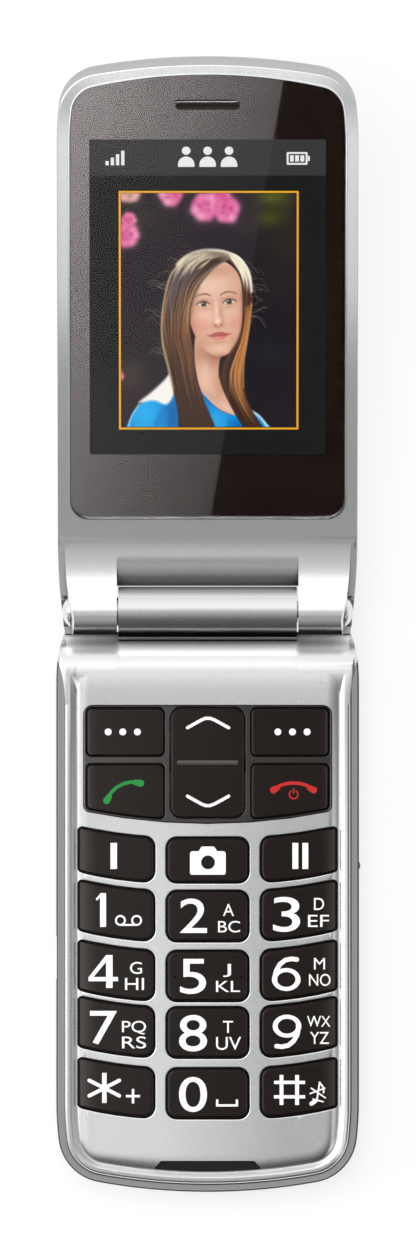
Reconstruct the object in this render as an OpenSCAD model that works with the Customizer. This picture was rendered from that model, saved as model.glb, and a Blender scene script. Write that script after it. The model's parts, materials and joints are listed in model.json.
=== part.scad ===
// Clamshell phone: a keypad base and a display lid on a barrel hinge, piece by piece.
// The base lies on its back. +Z points up out of the keypad, +Y to the hinge and the lid,
// +X to the right, and the origin is the centre of the flat back face.
// Lid pieces are drawn with the lid opened flat, its hinge axis on the X axis and its
// inner face up, and lid_pose() then turns them up to the opening stop.

/* [Base] */
// Width of the base
base_w = 55.6; // [55.2:0.1:56]
// Thickness of the base from the back to the rim
base_h = 10.5; // [10.5:0.1:10.6]
// Distance from the origin to the tip of the chin
chin_y = 53.1; // [52.9:0.1:53.4]
// Corner radius of the chin
base_corner_r = 9; // [8.8:0.1:9.4]
// Radius of the chin's shallow arc
base_tip_r = 112; // [108:1:118]
// Where the sides end in front of the hinge
shoulder_y = 49.8; // [49.7:0.1:49.9]
// Radius of the shoulder that rolls down to the hinge
shoulder_r = 7.4; // [7.2:0.1:7.6]
// Wall thickness of the mouldings
wall = 1.3; // [1.2:0.05:1.35]

/* [Lid] */
// Width of the lid
lid_w = 55; // [54.8:0.1:55.2]
// Length of the lid from the hinge axis to its tip
lid_len = 103.85; // [103.65:0.05:104.1]
// Thickness of the lid
lid_t = 8.7; // [8.6:0.1:8.8]
// Corner radius of the lid's tip
lid_corner_r = 8; // [7.8:0.1:8.4]
// Radius of the lid tip's shallow arc
lid_tip_r = 118; // [114:1:124]
// Half width of the display window
window_half = 25.1; // [25:0.1:25.2]
// Near and far edge of the display window, from the hinge axis
window_span = [17.6, 102]; // [17:0.1:103]

/* [Hinge] */
// Distance from the origin to the hinge axis
hinge_y = 53.5; // [53.4:0.1:53.6]
// Height of the hinge axis
hinge_z = 11.1; // [11.1:0.1:11.2]
// Radius of the centre knuckle on the base
barrel_r = 4.55; // [4.5:0.05:4.6]
// Radius of the two knuckles on the lid
knuckle_r = 4.3; // [4.25:0.05:4.35]
// Half length of the centre knuckle
barrel_half = 16.35; // [16.2:0.05:16.4]
// Opening angle at which the lid meets its stop
opening = 163; // [160:1:165]

/* [Keypad] */
// Height of the key tops
key_top = 10.8; // [10.7:0.05:10.9]
// Gap between a key and its opening
key_gap = 0.15; // [0.12:0.01:0.18]
// Corner radius of a key on the side that faces its neighbours
key_corner_r = 1.8; // [1.2:0.1:2]
// Distance from the centre line at which the rows begin to curve up
row_bend_x = 6.6; // [6:0.1:7.2]
// Radius of that curve
row_bend_r = 70; // [66:1:74]

/* [Hidden] */
$fn = 64;
piece_gap = 0.05;
swing_gap = 0.3;
opening_tilt = 180 - opening;

// Long arc of the sides into each tip corner: its radius, and how far it moves the corner in
side_r = 60;
side_in = 0.35;

// Base plan and heights
shoulder_taper_y = 41.3;
shoulder_taper_r = 23.5;
base_split_z = 5.6;
cover_inset = 1.65;
face_z = base_h - 0.05;
ceiling_z = 9.25;
cavity_end_y = 46.9;
flare_y = 36.4;
flare_r = 26;
trim_end_y = 45.9;
neck_r = 7;
neck_y = hinge_y - barrel_r + 0.65;
heel = [50.2, 3];
heel_r = 3;
back_edge_r = 2.5;

// Lid plan and heights, measured from the hinge axis
lid_taper_y = 13.8;
lid_taper_r = 130;
window_corner_r = 5;
window_tip_r = 94;
lid_face = -0.2;
lid_back = lid_face - lid_t;
lid_split = lid_face - 4.2;
lid_floor = -2.35;
lid_heel = [5.5, lid_back + 3];
lid_heel_r = 3;
ramp_r = 21;
ramp_c = [sqrt(pow(ramp_r + knuckle_r, 2) - pow(ramp_r + lid_face, 2)), ramp_r + lid_face];
rise_a = 9.3;
roll_r = 9.85;
roll_c = ramp_c - (ramp_r + roll_r) * [sin(rise_a), cos(rise_a)];
lid_end = 4.05;
lid_cavity_y = 13;
glass_top = -0.3;
glass_t = 1;
lcd_y = 59.5;
lcd_half = [23.25, 32.45];
ear_y = 96.05;
camera_y = 86;

// Hinge inserts
sleeve_r = 2.6;
cartridge_r = 3;
pin_r = 1.2;
cap_r = 2.9;
run_fit = 0.05;
sleeve_x = [-22.5, -6];
cartridge_x = 1.5;
pin_end_x = 21.5;
cam_x = [16.75, 22.3];

// Keypad: columns as left and right edge, rows as upper and lower edge
COLUMNS = [[-23.75, -9.83], [-7.45, 7.45], [9.83, 23.75]];
ROWS = [[11.95, 3.85], [2.2, -6.95], [-8.8, -17.9], [-19.15, -28.3], [-30.35, -39.4]];
key_edge_r = 0.6;
key_lip = 0.3;
lip_z = [8.55, 9.15];
plunger_z = 8.15;
crown_r = 14;
crown_x = 20;

// Navigation block
nav_half = 22.8;
nav_y = [14.57, 36.35];
nav_bend_r = 113;
nav_key_x = [7.95, 22.25];
soft_y = [27, 35.85];
call_y = [15.15, 25.55];
rocker_half = 6.85;
rocker_y = [15.6, 36];
rocker_bend_r = 160;
nav_t = 1.05;

// Inner stack of the base
battery_size = [35, 50, 3.9];
battery_c = -5;
back_cover_t = 1.1;
back_cover = [23, -46.5, 43];
ledge_top = 2;
board_z = 5.9;
board_t = 0.8;
mat_z = 7.2;
mat_t = 0.5;
SCREWS = [[-20.5, 40.2], [20.5, 40.2], [-15, -43.6], [15, -43.6]];
speaker = [18, 9];
speaker_y = 37;
switch_y = 6.85;
switch_z = 4;
switch_travel = 1.5;
usb_y = -10;
usb_z = 4.2;

KEYS = [
    ["memory_key_1", 0, 0], ["camera_key", 1, 0], ["memory_key_2", 2, 0],
    ["key_1", 0, 1], ["key_2", 1, 1], ["key_3", 2, 1],
    ["key_4", 0, 2], ["key_5", 1, 2], ["key_6", 2, 2],
    ["key_7", 0, 3], ["key_8", 1, 3], ["key_9", 2, 3],
    ["key_star", 0, 4], ["key_0", 1, 4], ["key_hash", 2, 4],
];

silver = "#c9cbcd";
grey = "#8f9193";
black = "#1e1b1a";
steel = "#a4a8ac";
board_green = "#2d5a3c";

// ---- outlines ----

function unit(v) = v / norm(v);

function arc(c, r, from, to, steps, first = 0) =
    [for (i = [first:steps]) let (a = from + (to - from) * i / steps) c + r * [cos(a), sin(a)]];

// Arc that rounds corner b between a and c
function fillet(a, b, c, r, steps) =
    let (u = unit(a - b), v = unit(c - b), half = acos(u * v) / 2,
         centre = b + unit(u + v) * r / sin(half),
         p = b + u * r / tan(half) - centre,
         q = b + v * r / tan(half) - centre,
         start = atan2(p.y, p.x),
         turn = (atan2(q.y, q.x) - start + 540) % 360 - 180)
    arc(centre, r, start, start + turn, steps);

// Polygon with one radius per corner; a radius of 0 leaves the corner as it is
function rounded(pts, radii, steps = 4) =
    let (n = len(pts))
    [for (i = [0:n - 1]) each radii[i] > 0
        ? fillet(pts[(i + n - 1) % n], pts[i], pts[(i + 1) % n], radii[i], steps)
        : [pts[i]]];

// Half shell that points to +Y: cut end, tapering sides, round corners and a shallow tip arc
function half_shell(w, tip, corner_r, tip_r, taper_y, taper_r, cut, inset) =
    let (corner_x = w / 2 - corner_r - side_in,
         tip_c = tip - tip_r,
         corner_y = tip_c + sqrt(pow(tip_r - corner_r, 2) - pow(corner_x, 2)),
         join = atan2(corner_y - tip_c, corner_x),
         side_a = acos(1 - side_in / (side_r - corner_r)),
         side_y = corner_y - (side_r - corner_r) * sin(side_a),
         cut_a = asin((cut - taper_y) / (taper_r - inset)),
         right = concat(arc([w / 2 - taper_r, taper_y], taper_r - inset, cut_a, 0, 4),
                        arc([w / 2 - side_r, side_y], side_r - inset, 0, side_a, 3),
                        arc([corner_x, corner_y], corner_r - inset, side_a, join, 8, 1),
                        arc([0, tip_c], tip_r - inset, join, 90, 4, 1)))
    concat(right, [for (i = [len(right) - 2:-1:0]) [-right[i].x, right[i].y]]);

function base_outline(inset, cut = shoulder_y) =
    [for (p = half_shell(base_w, chin_y, base_corner_r, base_tip_r,
                         -shoulder_taper_y, shoulder_taper_r, -cut, inset)) -p];

function lid_outline(inset, cut = -knuckle_r - 0.1) =
    half_shell(lid_w, lid_len, lid_corner_r, lid_tip_r, lid_taper_y, lid_taper_r, cut, inset);

// Window glass: square near corners, far end concentric with the lid
function window_outline(grow = 0) =
    let (pts = half_shell(2 * window_half, window_span[1], window_corner_r, window_tip_r,
                          lid_taper_y, 900, window_span[0], -grow),
         near = window_span[0] - grow,
         side = [for (p = pts) if (p.y > window_span[0] + 8) p])
    concat(rounded([[-window_half - grow, near + 6], [-window_half - grow, near],
                    [window_half + grow, near], [window_half + grow, near + 6]],
                   [0, 3.5 + grow, 3.5 + grow, 0], 6), side);

function row_rise(x) = pow(max(abs(x) - row_bend_x, 0), 2) / (2 * row_bend_r);

function key_outline(column, row, grow) =
    let (x0 = COLUMNS[column][0] - grow, x1 = COLUMNS[column][1] + grow,
         xm = (x0 + x1) / 2,
         top = ROWS[row][0] + grow, low = ROWS[row][1] - grow,
         r0 = (column == 0 ? key_edge_r : key_corner_r) + grow,
         r1 = (column == 2 ? key_edge_r : key_corner_r) + grow)
    rounded([[x0, low + row_rise(x0)], [xm, low + row_rise(xm)], [x1, low + row_rise(x1)],
             [x1, top + row_rise(x1)], [xm, top + row_rise(xm)], [x0, top + row_rise(x0)]],
            [r0, 0, r1, r1, 0, r0]);

// Outline with straight sides and top whose lower edge is lifted by the navigation block's arc
function bowl_outline(x0, x1, low, top, r_low, r_top, grow) =
    let (n = 6, a = x0 - grow, b = x1 + grow)
    rounded(concat([for (i = [0:n]) let (x = a + (b - a) * i / n)
                        [x, low - grow + x * x / (2 * nav_bend_r)]],
                   [[b, top + grow], [a, top + grow]]),
            concat([r_low], [for (i = [1:n - 1]) 0], [r_low, r_top, r_top]));

function box_outline(x0, x1, y0, y1, r) =
    rounded([[x0, y0], [x1, y0], [x1, y1], [x0, y1]], [r, r, r, r]);

function tangent_point(a, ra, b, rb, side, at_b) =
    let (d = b - a, turn = atan2(d.y, d.x) + side * acos((ra - rb) / norm(d)))
    (at_b ? b : a) + (at_b ? rb : ra) * [cos(turn), sin(turn)];

// ---- building blocks ----

// Solid through outlines of equal point count at rising heights: [[outline, z], ...]
module loft(rings) {
    n = len(rings[0][0]);
    top = len(rings) - 1;
    points = [for (ring = rings) for (p = ring[0]) [p.x, p.y, ring[1]]];
    sides = [for (k = [0:top - 1], i = [0:n - 1])
        let (a = k * n + i, b = k * n + (i + 1) % n)
        each [[a, a + n, b + n], [a, b + n, b]]];
    caps = [[for (i = [0:n - 1]) i], [for (i = [n - 1:-1:0]) top * n + i]];
    polyhedron(points, concat(sides, caps), convexity = 4);
}

module base_loft(steps, cut) {
    loft([for (s = steps) [base_outline(s[0], cut), s[1]]]);
}

module lid_loft(steps) {
    loft([for (s = steps) [lid_outline(s[0]), s[1]]]);
}

// Prism on a plan outline between two heights
module slab(outline, z0, z1) {
    translate([0, 0, z0])
        linear_extrude(z1 - z0)
            polygon(outline);
}

// Extrudes a side view, drawn as [y, z], from x0 to x1
module across(x0, x1) {
    translate([x0, 0, 0])
        rotate([90, 0, 90])
            linear_extrude(x1 - x0)
                children();
}

// Cylinder along X
module rod(r, x0, x1) {
    translate([x0, 0, 0])
        rotate([0, 90, 0])
            cylinder(r = r, h = x1 - x0);
}

// Two circles joined by their outer tangents
module link(a, ra, b, rb) {
    translate(a)
        circle(ra);
    translate(b)
        circle(rb);
    polygon([tangent_point(a, ra, b, rb, 1, false), tangent_point(a, ra, b, rb, 1, true),
             tangent_point(a, ra, b, rb, -1, true), tangent_point(a, ra, b, rb, -1, false)]);
}

// What a round edge of radius r leaves over in the corner at the origin, towards +X +Y
module corner_waste(r) {
    translate([-r, -r])
        difference() {
            square(r + 1);
            circle(r);
        }
}

module at_hinge() {
    translate([0, hinge_y, hinge_z])
        children();
}

module lid_pose() {
    at_hinge()
        rotate([opening_tilt, 0, 0])
            children();
}

// ---- base shells ----

// Side view of the base body that ends in a round upper edge
module end_view(end_y, r) {
    difference() {
        translate([-60, 0])
            square([60 + end_y, base_h]);
        translate([end_y, base_h])
            corner_waste(r);
    }
}

module neck_view() {
    link([hinge_y, hinge_z], barrel_r, heel, heel_r);
}

module above(z) {
    translate([-60, -70, z])
        cube([120, 140, 30]);
}

// Plan of the front cover where it widens to the full width at the shoulders
module flare_plan(grow) {
    difference() {
        polygon(base_outline(0, hinge_y + 5));
        translate([-40, -60])
            square([80, 60 + flare_y - grow]);
        for (side = [-1, 1])
            translate([side * (base_w / 2 - cover_inset + flare_r), flare_y])
                circle(flare_r - grow, $fn = 160);
    }
}

module front_cover_block() {
    shell_cut = hinge_y + 5;
    z0 = base_split_z + piece_gap;
    intersection() {
        union() {
            base_loft([[cover_inset, z0], [cover_inset, base_h - 0.5],
                       [cover_inset + 0.12, base_h - 0.2], [cover_inset + 0.32, base_h - 0.04],
                       [cover_inset + 0.5, base_h]], shell_cut);
            intersection() {
                base_loft([[0, z0], [0, base_h - 1.9], [0.3, base_h - 0.9],
                           [0.9, base_h - 0.25], [1.7, base_h]], shell_cut);
                linear_extrude(base_h + 1)
                    flare_plan(0);
            }
        }
        union() {
            across(-30, 30)
                intersection() {
                    end_view(shoulder_y, shoulder_r);
                    end_view(neck_y, neck_r);
                }
            for (side = [-1, 1])
                across(side < 0 ? -30 : barrel_half, side < 0 ? -barrel_half : 30)
                    end_view(shoulder_y, shoulder_r);
            across(-barrel_half, barrel_half)
                end_view(neck_y, neck_r);
        }
    }
    intersection() {
        across(-barrel_half, barrel_half)
            neck_view();
        above(z0);
    }
}

// Channel between the rim and the crowned key face, running out towards the shoulders
module face_groove() {
    difference() {
        base_loft_tapered([[3.65, 9.85, 38], [3.5, 9.93, 39], [2.7, base_h + 0.1, 42.5]]);
        base_loft([[3.75, 9.7], [3.85, 9.95], [4.1, 10.15], [4.5, 10.3], [5, 10.4], [5.6, face_z],
                   [5.7, base_h + 0.2]], 47);
    }
}

// Loft whose steps are [inset, z, cut]
module base_loft_tapered(steps) {
    loft([for (s = steps) [base_outline(s[0], s[2]), s[1]]]);
}

// Black bar whose lower edge follows the rim groove
module chin_insert_plan(grow) {
    end_y = -48.68;
    bow = 0.47;
    half = 9.85 + grow;
    polygon(rounded(concat([for (t = [-1:0.25:1]) [t * half, end_y - grow - bow * (1 - t * t)]],
                           [[8.5 + grow, -47.31 + grow], [-8.5 - grow, -47.31 + grow]]),
                    [0.15, 0, 0, 0, 0, 0, 0, 0, 0.15, 0.2, 0.2]));
}

// Channel for the flex cable from the centre knuckle into the base
module flex_channel() {
    across(-5.7, 0.7)
        polygon([[hinge_y - 2, hinge_z - 1.6], [48.4, 7.15], [45, 7.15], [45, 6.05], [48.7, 6.05],
                 [hinge_y - 0.3, hinge_z - 2.5]]);
}

module base_front_cover() {
    color(silver)
        difference() {
            union() {
                difference() {
                    front_cover_block();
                    intersection() {
                        base_loft([[cover_inset + wall, base_split_z - 1],
                                   [cover_inset + wall, ceiling_z]], 47.4);
                        across(-30, 30)
                            difference() {
                                translate([-60, 0])
                                    square([60 + cavity_end_y, 12]);
                                translate([cavity_end_y, ceiling_z])
                                    corner_waste(4);
                            }
                    }
                }
                for (s = SCREWS)
                    translate([s.x, s.y, board_z + board_t + piece_gap])
                        cylinder(r = 1.9, h = ceiling_z - board_z - board_t);
            }
            face_groove();
            slab(bowl_outline(-nav_half, nav_half, nav_y[0], nav_y[1], 1.3, 1.8, 0.05), 8, 12);
            for (k = KEYS)
                slab(key_outline(k[1], k[2], key_gap), 8, 12);
            translate([0, 0, 9.4])
                linear_extrude(2)
                    chin_insert_plan(piece_gap);
            for (s = SCREWS)
                translate([s.x, s.y, 6])
                    cylinder(r = 0.85, h = 2.6);
            at_hinge()
                rod(sleeve_r + run_fit, -barrel_half - 1, cartridge_x);
            at_hinge()
                rod(cartridge_r + run_fit, cartridge_x, barrel_half + 1);
            flex_channel();
        }
}

module back_cover_outline(grow) {
    polygon(box_outline(-back_cover[0] - grow, back_cover[0] + grow,
                        back_cover[1] - grow, back_cover[2] + grow, 8 + grow));
}

module speaker_slots() {
    for (i = [-2:2])
        translate([i * 2.4, speaker_y, -1])
            linear_extrude(4)
                polygon(box_outline(-0.5, 0.5, -3, 3, 0.45));
}

module base_rear_housing() {
    color(grey)
        difference() {
            union() {
                difference() {
                    intersection() {
                        base_loft([[3.3, 0], [2.1, 0.25], [1.1, 0.8], [0.45, 1.6], [0.1, 2.6],
                                   [0, 3.4], [0, base_split_z]], hinge_y + 5);
                        union() {
                            across(-30, 30)
                                difference() {
                                    translate([-60, 0])
                                        square([60 + shoulder_y, 8]);
                                    translate([shoulder_y, 0])
                                        mirror([0, 1])
                                            corner_waste(back_edge_r);
                                }
                            across(-barrel_half, barrel_half)
                                neck_view();
                        }
                    }
                    base_loft([[3.3, 1.2], [2.1, 1.9], [1.5, 3], [wall, base_split_z + 1]], 47.8);
                    translate([0, 0, -1])
                        linear_extrude(1 + back_cover_t + piece_gap)
                            back_cover_outline(0.1);
                }
                translate([0, 0, back_cover_t + piece_gap])
                    linear_extrude(ledge_top - back_cover_t - piece_gap)
                        back_cover_outline(0.9);
                slab(box_outline(-18.6, 18.6, battery_c - 26.1, battery_c + 26.1, 1), 1.2, 5.2);
                for (s = SCREWS)
                    translate([s.x, s.y, 1.2])
                        cylinder(r = 2.1, h = board_z - 1.25);
            }
            slab(box_outline(-17.8, 17.8, battery_c - 25.3, battery_c + 25.3, 0.8), 0.5, 6);
            speaker_slots();
            for (s = SCREWS)
                translate([s.x, s.y, 0]) {
                    cylinder(r = 1, h = 8);
                    cylinder(r = 1.75, h = 2.2);
                }
            translate([-30, usb_y - 4, usb_z - 1.5])
                cube([6, 8, 3]);
            translate([24, switch_y + switch_travel / 2 - 3.7, switch_z - 1])
                cube([6, 7.4, 2]);
            at_hinge()
                rod(barrel_r + piece_gap, -barrel_half - 1, barrel_half + 1);
        }
}

module base_trim_ring() {
    color(grey)
        difference() {
            base_loft([[0, base_split_z + piece_gap], [0, 7.3], [1.45, 9.5], [1.55, 9.5]], shoulder_y);
            slab(base_outline(cover_inset - piece_gap, shoulder_y + 3), 5, 11);
            translate([0, 0, 5])
                linear_extrude(6)
                    flare_plan(piece_gap);
            translate([-30, trim_end_y, 5])
                cube([60, 10, 6]);
        }
}

module chin_insert() {
    color(black)
        translate([0, 0, 9.42])
            linear_extrude(0.5)
                chin_insert_plan(0);
}

// ---- keys ----

// Limits the key tops to a flat middle with sides that roll down
module crown() {
    translate([0, 60, 0])
        rotate([90, 0, 0])
            linear_extrude(120) {
                translate([-crown_x, 0])
                    square([2 * crown_x, key_top]);
                for (side = [-1, 1])
                    translate([side * crown_x, key_top - crown_r])
                        circle(crown_r);
            }
}

// Upright cap with a softened top edge
module cap_block(outline) {
    loft([for (s = [[0, lip_z[1]], [0, key_top - 0.3], [-0.1, key_top - 0.1], [-0.3, key_top]])
        [outline(s[0]), s[1]]]);
}

// Cap, retaining lip and plunger of one key; outline is a function of the growth
module keycap(outline) {
    points = outline(0);
    centre = [for (p = points) 1] * points / len(points);
    color(black) {
        intersection() {
            cap_block(outline);
            crown();
        }
        slab(outline(key_lip), lip_z[0], lip_z[1]);
        translate([centre.x, centre.y, plunger_z])
            cylinder(r = 1.1, h = lip_z[0] - plunger_z);
    }
}

module grid_key(column, row) {
    keycap(function(grow) key_outline(column, row, grow));
}

function soft_outline(side, grow) =
    box_outline((side < 0 ? -nav_key_x[1] : nav_key_x[0]) - grow,
                (side < 0 ? -nav_key_x[0] : nav_key_x[1]) + grow,
                soft_y[0] - grow, soft_y[1] + grow, 1 + grow);

function call_outline(side, grow) =
    bowl_outline(side < 0 ? -nav_key_x[1] : nav_key_x[0], side < 0 ? -nav_key_x[0] : nav_key_x[1],
                 call_y[0], call_y[1], 1, 1, grow);

function rocker_outline(grow) =
    box_outline(-rocker_half - grow, rocker_half + grow, rocker_y[0] - grow, rocker_y[1] + grow,
                2.2 + grow);

module soft_key(side) {
    keycap(function(grow) soft_outline(side, grow));
}

module phone_key(side) {
    keycap(function(grow) call_outline(side, grow));
}

// Tips about its middle, so it has a pivot rib and two plungers, and lips only beside the pivot
module nav_rocker() {
    middle = (rocker_y[0] + rocker_y[1]) / 2;
    color(black) {
        intersection() {
            cap_block(function(grow) rocker_outline(grow));
            across(-10, 10)
                translate([middle, key_top - rocker_bend_r])
                    circle(rocker_bend_r, $fn = 480);
        }
        slab(box_outline(-rocker_half + 0.2, rocker_half - 0.2, rocker_y[0] + 0.4, rocker_y[1] - 0.4, 2),
             lip_z[0], lip_z[1]);
        slab(box_outline(-rocker_half - 0.3, rocker_half + 0.3, middle - 1.6, middle + 1.6, 0.4),
             lip_z[0], lip_z[1] - 0.05);
        for (y = [rocker_y[0] + 3.2, rocker_y[1] - 3.2])
            translate([0, y, plunger_z])
                cylinder(r = 1.1, h = lip_z[0] - plunger_z);
        slab(box_outline(-5.6, 5.6, middle - 0.45, middle + 0.45, 0.4), key_top - 0.5, key_top + 0.12);
    }
}

// Dark plate that frames the five navigation keys
module nav_bezel() {
    color(black)
        difference() {
            slab(bowl_outline(-nav_half, nav_half, nav_y[0], nav_y[1], 1.3, 1.8, 0),
                 base_h - nav_t, base_h + 0.02);
            for (side = [-1, 1]) {
                slab(soft_outline(side, key_gap), 8, 12);
                slab(call_outline(side, key_gap), 8, 12);
            }
            slab(rocker_outline(key_gap), 8, 12);
        }
}

// ---- base inner pieces ----

module battery_cover() {
    color(grey)
        difference() {
            linear_extrude(back_cover_t)
                back_cover_outline(0);
            speaker_slots();
        }
}

module battery() {
    color("#3a3d42")
        slab(box_outline(-battery_size.x / 2, battery_size.x / 2, battery_c - battery_size.y / 2,
                         battery_c + battery_size.y / 2, 1.5),
             back_cover_t + 0.1, back_cover_t + 0.1 + battery_size.z);
}

module battery_contacts() {
    contact_y = battery_c + 27;
    color("goldenrod")
        for (i = [-1:1])
            translate([i * 3, contact_y, ledge_top + piece_gap]) {
                translate([-0.8, -0.4, 0])
                    cube([1.6, 1.8, board_z - ledge_top - 2 * piece_gap]);
                translate([-0.5, 1.4, 0.4])
                    cube([1, 0.6, 1.2]);
            }
}

module main_board() {
    color(board_green)
        difference() {
            slab(box_outline(-23.2, 23.2, -45.6, 45, 4), board_z, board_z + board_t);
            for (s = SCREWS)
                translate([s.x, s.y, 0])
                    cylinder(r = 1.3, h = 10);
        }
}

module shield_cans() {
    color(steel)
        for (side = [-1, 1])
            difference() {
                slab(box_outline(side * 11 - 5.2, side * 11 + 5.2, 24.2, 31.2, 0.8),
                     board_z - 1.7, board_z - piece_gap);
                slab(box_outline(side * 11 - 5, side * 11 + 5, 24.4, 31, 0.6), board_z - 1.5, board_z + 1);
            }
}

function middle_of(span) = (span[0] + span[1]) / 2;

DOMES = concat([for (k = KEYS) let (x = middle_of(COLUMNS[k[1]])) [x, middle_of(ROWS[k[2]]) + row_rise(x)]],
               [for (s = [-1, 1]) [s * middle_of(nav_key_x), middle_of(soft_y)]],
               [for (s = [-1, 1]) [s * middle_of(nav_key_x), middle_of(call_y) + 1]],
               [[0, rocker_y[0] + 3.2], [0, rocker_y[1] - 3.2]]);

module dome_sheet() {
    sheet_z = board_z + board_t + piece_gap;
    color("silver") {
        slab(box_outline(-22.8, 22.8, -41, 37.3, 1.5), sheet_z, sheet_z + 0.12);
        for (d = DOMES)
            translate([d.x, d.y, sheet_z + 0.12])
                cylinder(r1 = 2, r2 = 1.5, h = 0.25);
    }
}

module keypad_mat() {
    color("#dcdcd8")
        slab(box_outline(-23.6, 23.6, -41.3, 37.6, 1.5), mat_z, mat_z + mat_t);
}

module microphone() {
    color(steel)
        translate([-2, -45.4, board_z + board_t + piece_gap])
            cube([4, 3, 1.2]);
}

module loudspeaker() {
    color("#2b2b2b")
        difference() {
            slab(box_outline(-speaker.x / 2, speaker.x / 2, speaker_y - speaker.y / 2,
                             speaker_y + speaker.y / 2, 4), ledge_top + piece_gap, 5.5);
            slab(box_outline(1 - speaker.x / 2, speaker.x / 2 - 1, speaker_y - speaker.y / 2 + 1,
                             speaker_y + speaker.y / 2 - 1, 3), 1, ledge_top + 0.8);
        }
}

module vibration_motor() {
    color(steel)
        translate([11, -37.6, ledge_top + piece_gap])
            cylinder(r = 4, h = 2.7);
}

module usb_socket() {
    color(steel)
        translate([0, usb_y, usb_z]) {
            difference() {
                translate([-27.3, -3.75, -1.3])
                    cube([5.4, 7.5, 2.6]);
                translate([-28, -3.45, -1])
                    cube([5.6, 6.9, 2]);
            }
            translate([-26.8, -2.6, -0.3])
                cube([4.5, 5.2, 0.6]);
        }
}

module sim_holder() {
    color(steel)
        difference() {
            slab(box_outline(-9, 9, -24, -9, 0.6), 5.25, board_z - piece_gap);
            slab(box_outline(-8.6, 8.6, -25, -9.6, 0.1), 5.4, 5.7);
            slab(box_outline(-5, 5, -20, -12, 0.6), 5, 5.5);
        }
}

module antenna_carrier() {
    color("#d8d4c4")
        difference() {
            slab(box_outline(-11, 5, -44.5, -33, 1), ledge_top + piece_gap, board_z - 0.1);
            slab(box_outline(-10, 4, -43.5, -34, 0.6), ledge_top + 1, board_z + 1);
        }
}

module housing_screws() {
    color(steel)
        for (s = SCREWS)
            translate([s.x, s.y, 0])
                difference() {
                    union() {
                        translate([0, 0, 1.25])
                            cylinder(r = 1.6, h = 0.9);
                        translate([0, 0, 2.15])
                            cylinder(r = 0.8, h = 6);
                    }
                    for (turn = [0, 90])
                        rotate([0, 0, turn])
                            translate([-0.9, -0.15, 1])
                                cube([1.8, 0.3, 0.6]);
                }
}

// ---- hinge pieces ----

// Spring cartridge that gives the lid its friction, with the shaft that carries the right knuckle
module hinge_cartridge() {
    color(steel)
        at_hinge() {
            rod(cartridge_r, cartridge_x + piece_gap, barrel_half - 0.1);
            rod(2, barrel_half - 0.1, barrel_half + 0.15);
            rod(pin_r, barrel_half, pin_end_x);
        }
}

// Hollow bush that carries the left knuckle and lets the cable through
module hinge_sleeve() {
    color(steel)
        at_hinge()
            difference() {
                rod(sleeve_r, sleeve_x[0], sleeve_x[1]);
                rod(2, sleeve_x[0] - 1, sleeve_x[1] + 1);
            }
}

// Cable between the boards: rolled up on the hinge axis, then flat into the base
module flex_cable() {
    color("#c07a2c") {
        at_hinge()
            difference() {
                rod(1.5, -23.2, 0.4);
                rod(1.2, -24, 1);
            }
        across(-5.2, 0.2)
            polygon([[hinge_y - 0.9, hinge_z - 1.1], [hinge_y - 2, hinge_z - 2.1], [48.5, 6.95],
                     [43, 6.95], [43, 6.8], [48.6, 6.8], [hinge_y - 1.9, hinge_z - 2.3],
                     [hinge_y - 0.6, hinge_z - 1.3]]);
    }
}

// Cam follower keyed into the right knuckle; it turns on the cartridge's shaft
module hinge_cam_head() {
    color(steel)
        lid_pose()
            difference() {
                rod(cartridge_r - 0.05, cam_x[0], cam_x[1]);
                rod(pin_r + run_fit, cam_x[0] - 1, cam_x[1] + 1);
            }
}

// Domed plugs that close the outer ends of the lid's knuckles
module hinge_caps() {
    seat_x = 24.2;
    dome_x = 25.2;
    dome_h = 1.45;
    dome_r = (cap_r * cap_r + dome_h * dome_h) / (2 * dome_h);
    rim_a = asin(cap_r / dome_r);
    color(silver)
        lid_pose()
            for (side = [-1, 1])
                rotate([0, side * 90, 0])
                    rotate_extrude()
                        polygon(concat([[0, seat_x], [cap_r, seat_x]],
                                       arc([0, dome_x + dome_h - dome_r], dome_r, 90 - rim_a, 90, 8)));
}

// ---- side switch ----

module side_switch_block() {
    color(black)
        translate([22.6, switch_y - 3, switch_z - 1])
            cube([2.5, 7.6, 2.6]);
}

module side_slider() {
    color(silver) {
        translate([25.35, switch_y - 3.2, switch_z - 0.9])
            cube([0.9, 6.4, 1.8]);
        translate([26.25, switch_y - 2.6, switch_z - 0.75])
            cube([1.4, 5.2, 1.5]);
        translate([base_w / 2 - 0.95, switch_y, switch_z - 0.75])
            cylinder(r = 1.2, h = 1.5);
    }
}

// ---- lid ----

// Side view of the lid in the middle: it starts up the ramp, then rolls down to the centre knuckle
module lid_centre_view() {
    end_a = acos((lid_end - roll_c.x) / roll_r);
    polygon(concat([[lid_len + 5, lid_back], [lid_len + 5, lid_face]],
                   arc(ramp_c, ramp_r, -90, -90 - rise_a, 6),
                   arc(roll_c, roll_r, 90 - rise_a, end_a, 16, 1),
                   arc([lid_end + 2.3, lid_back + 2.3], 2.3, 180, 270, 8)));
}

// Side view of a lid arm: a knuckle, its heel and the hollow ramp up from the inner face
module lid_arm_view() {
    link([0, 0], knuckle_r, lid_heel, lid_heel_r);
    translate([lid_heel.x, lid_back])
        square([lid_len + 5 - lid_heel.x, lid_t]);
    top_a = asin(ramp_c.x / (ramp_r + knuckle_r));
    polygon(concat([[0, 0], ramp_c * 0.995 * knuckle_r / norm(ramp_c)],
                   arc(ramp_c, ramp_r, -90 - top_a, -90, 16, 1), [[ramp_c.x, -5], [0, -5]]));
}

module lid_side_views() {
    arm_x = barrel_half + swing_gap;
    across(-arm_x, arm_x)
        lid_centre_view();
    across(-30, -arm_x)
        lid_arm_view();
    across(arm_x, 30)
        lid_arm_view();
}

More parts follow.
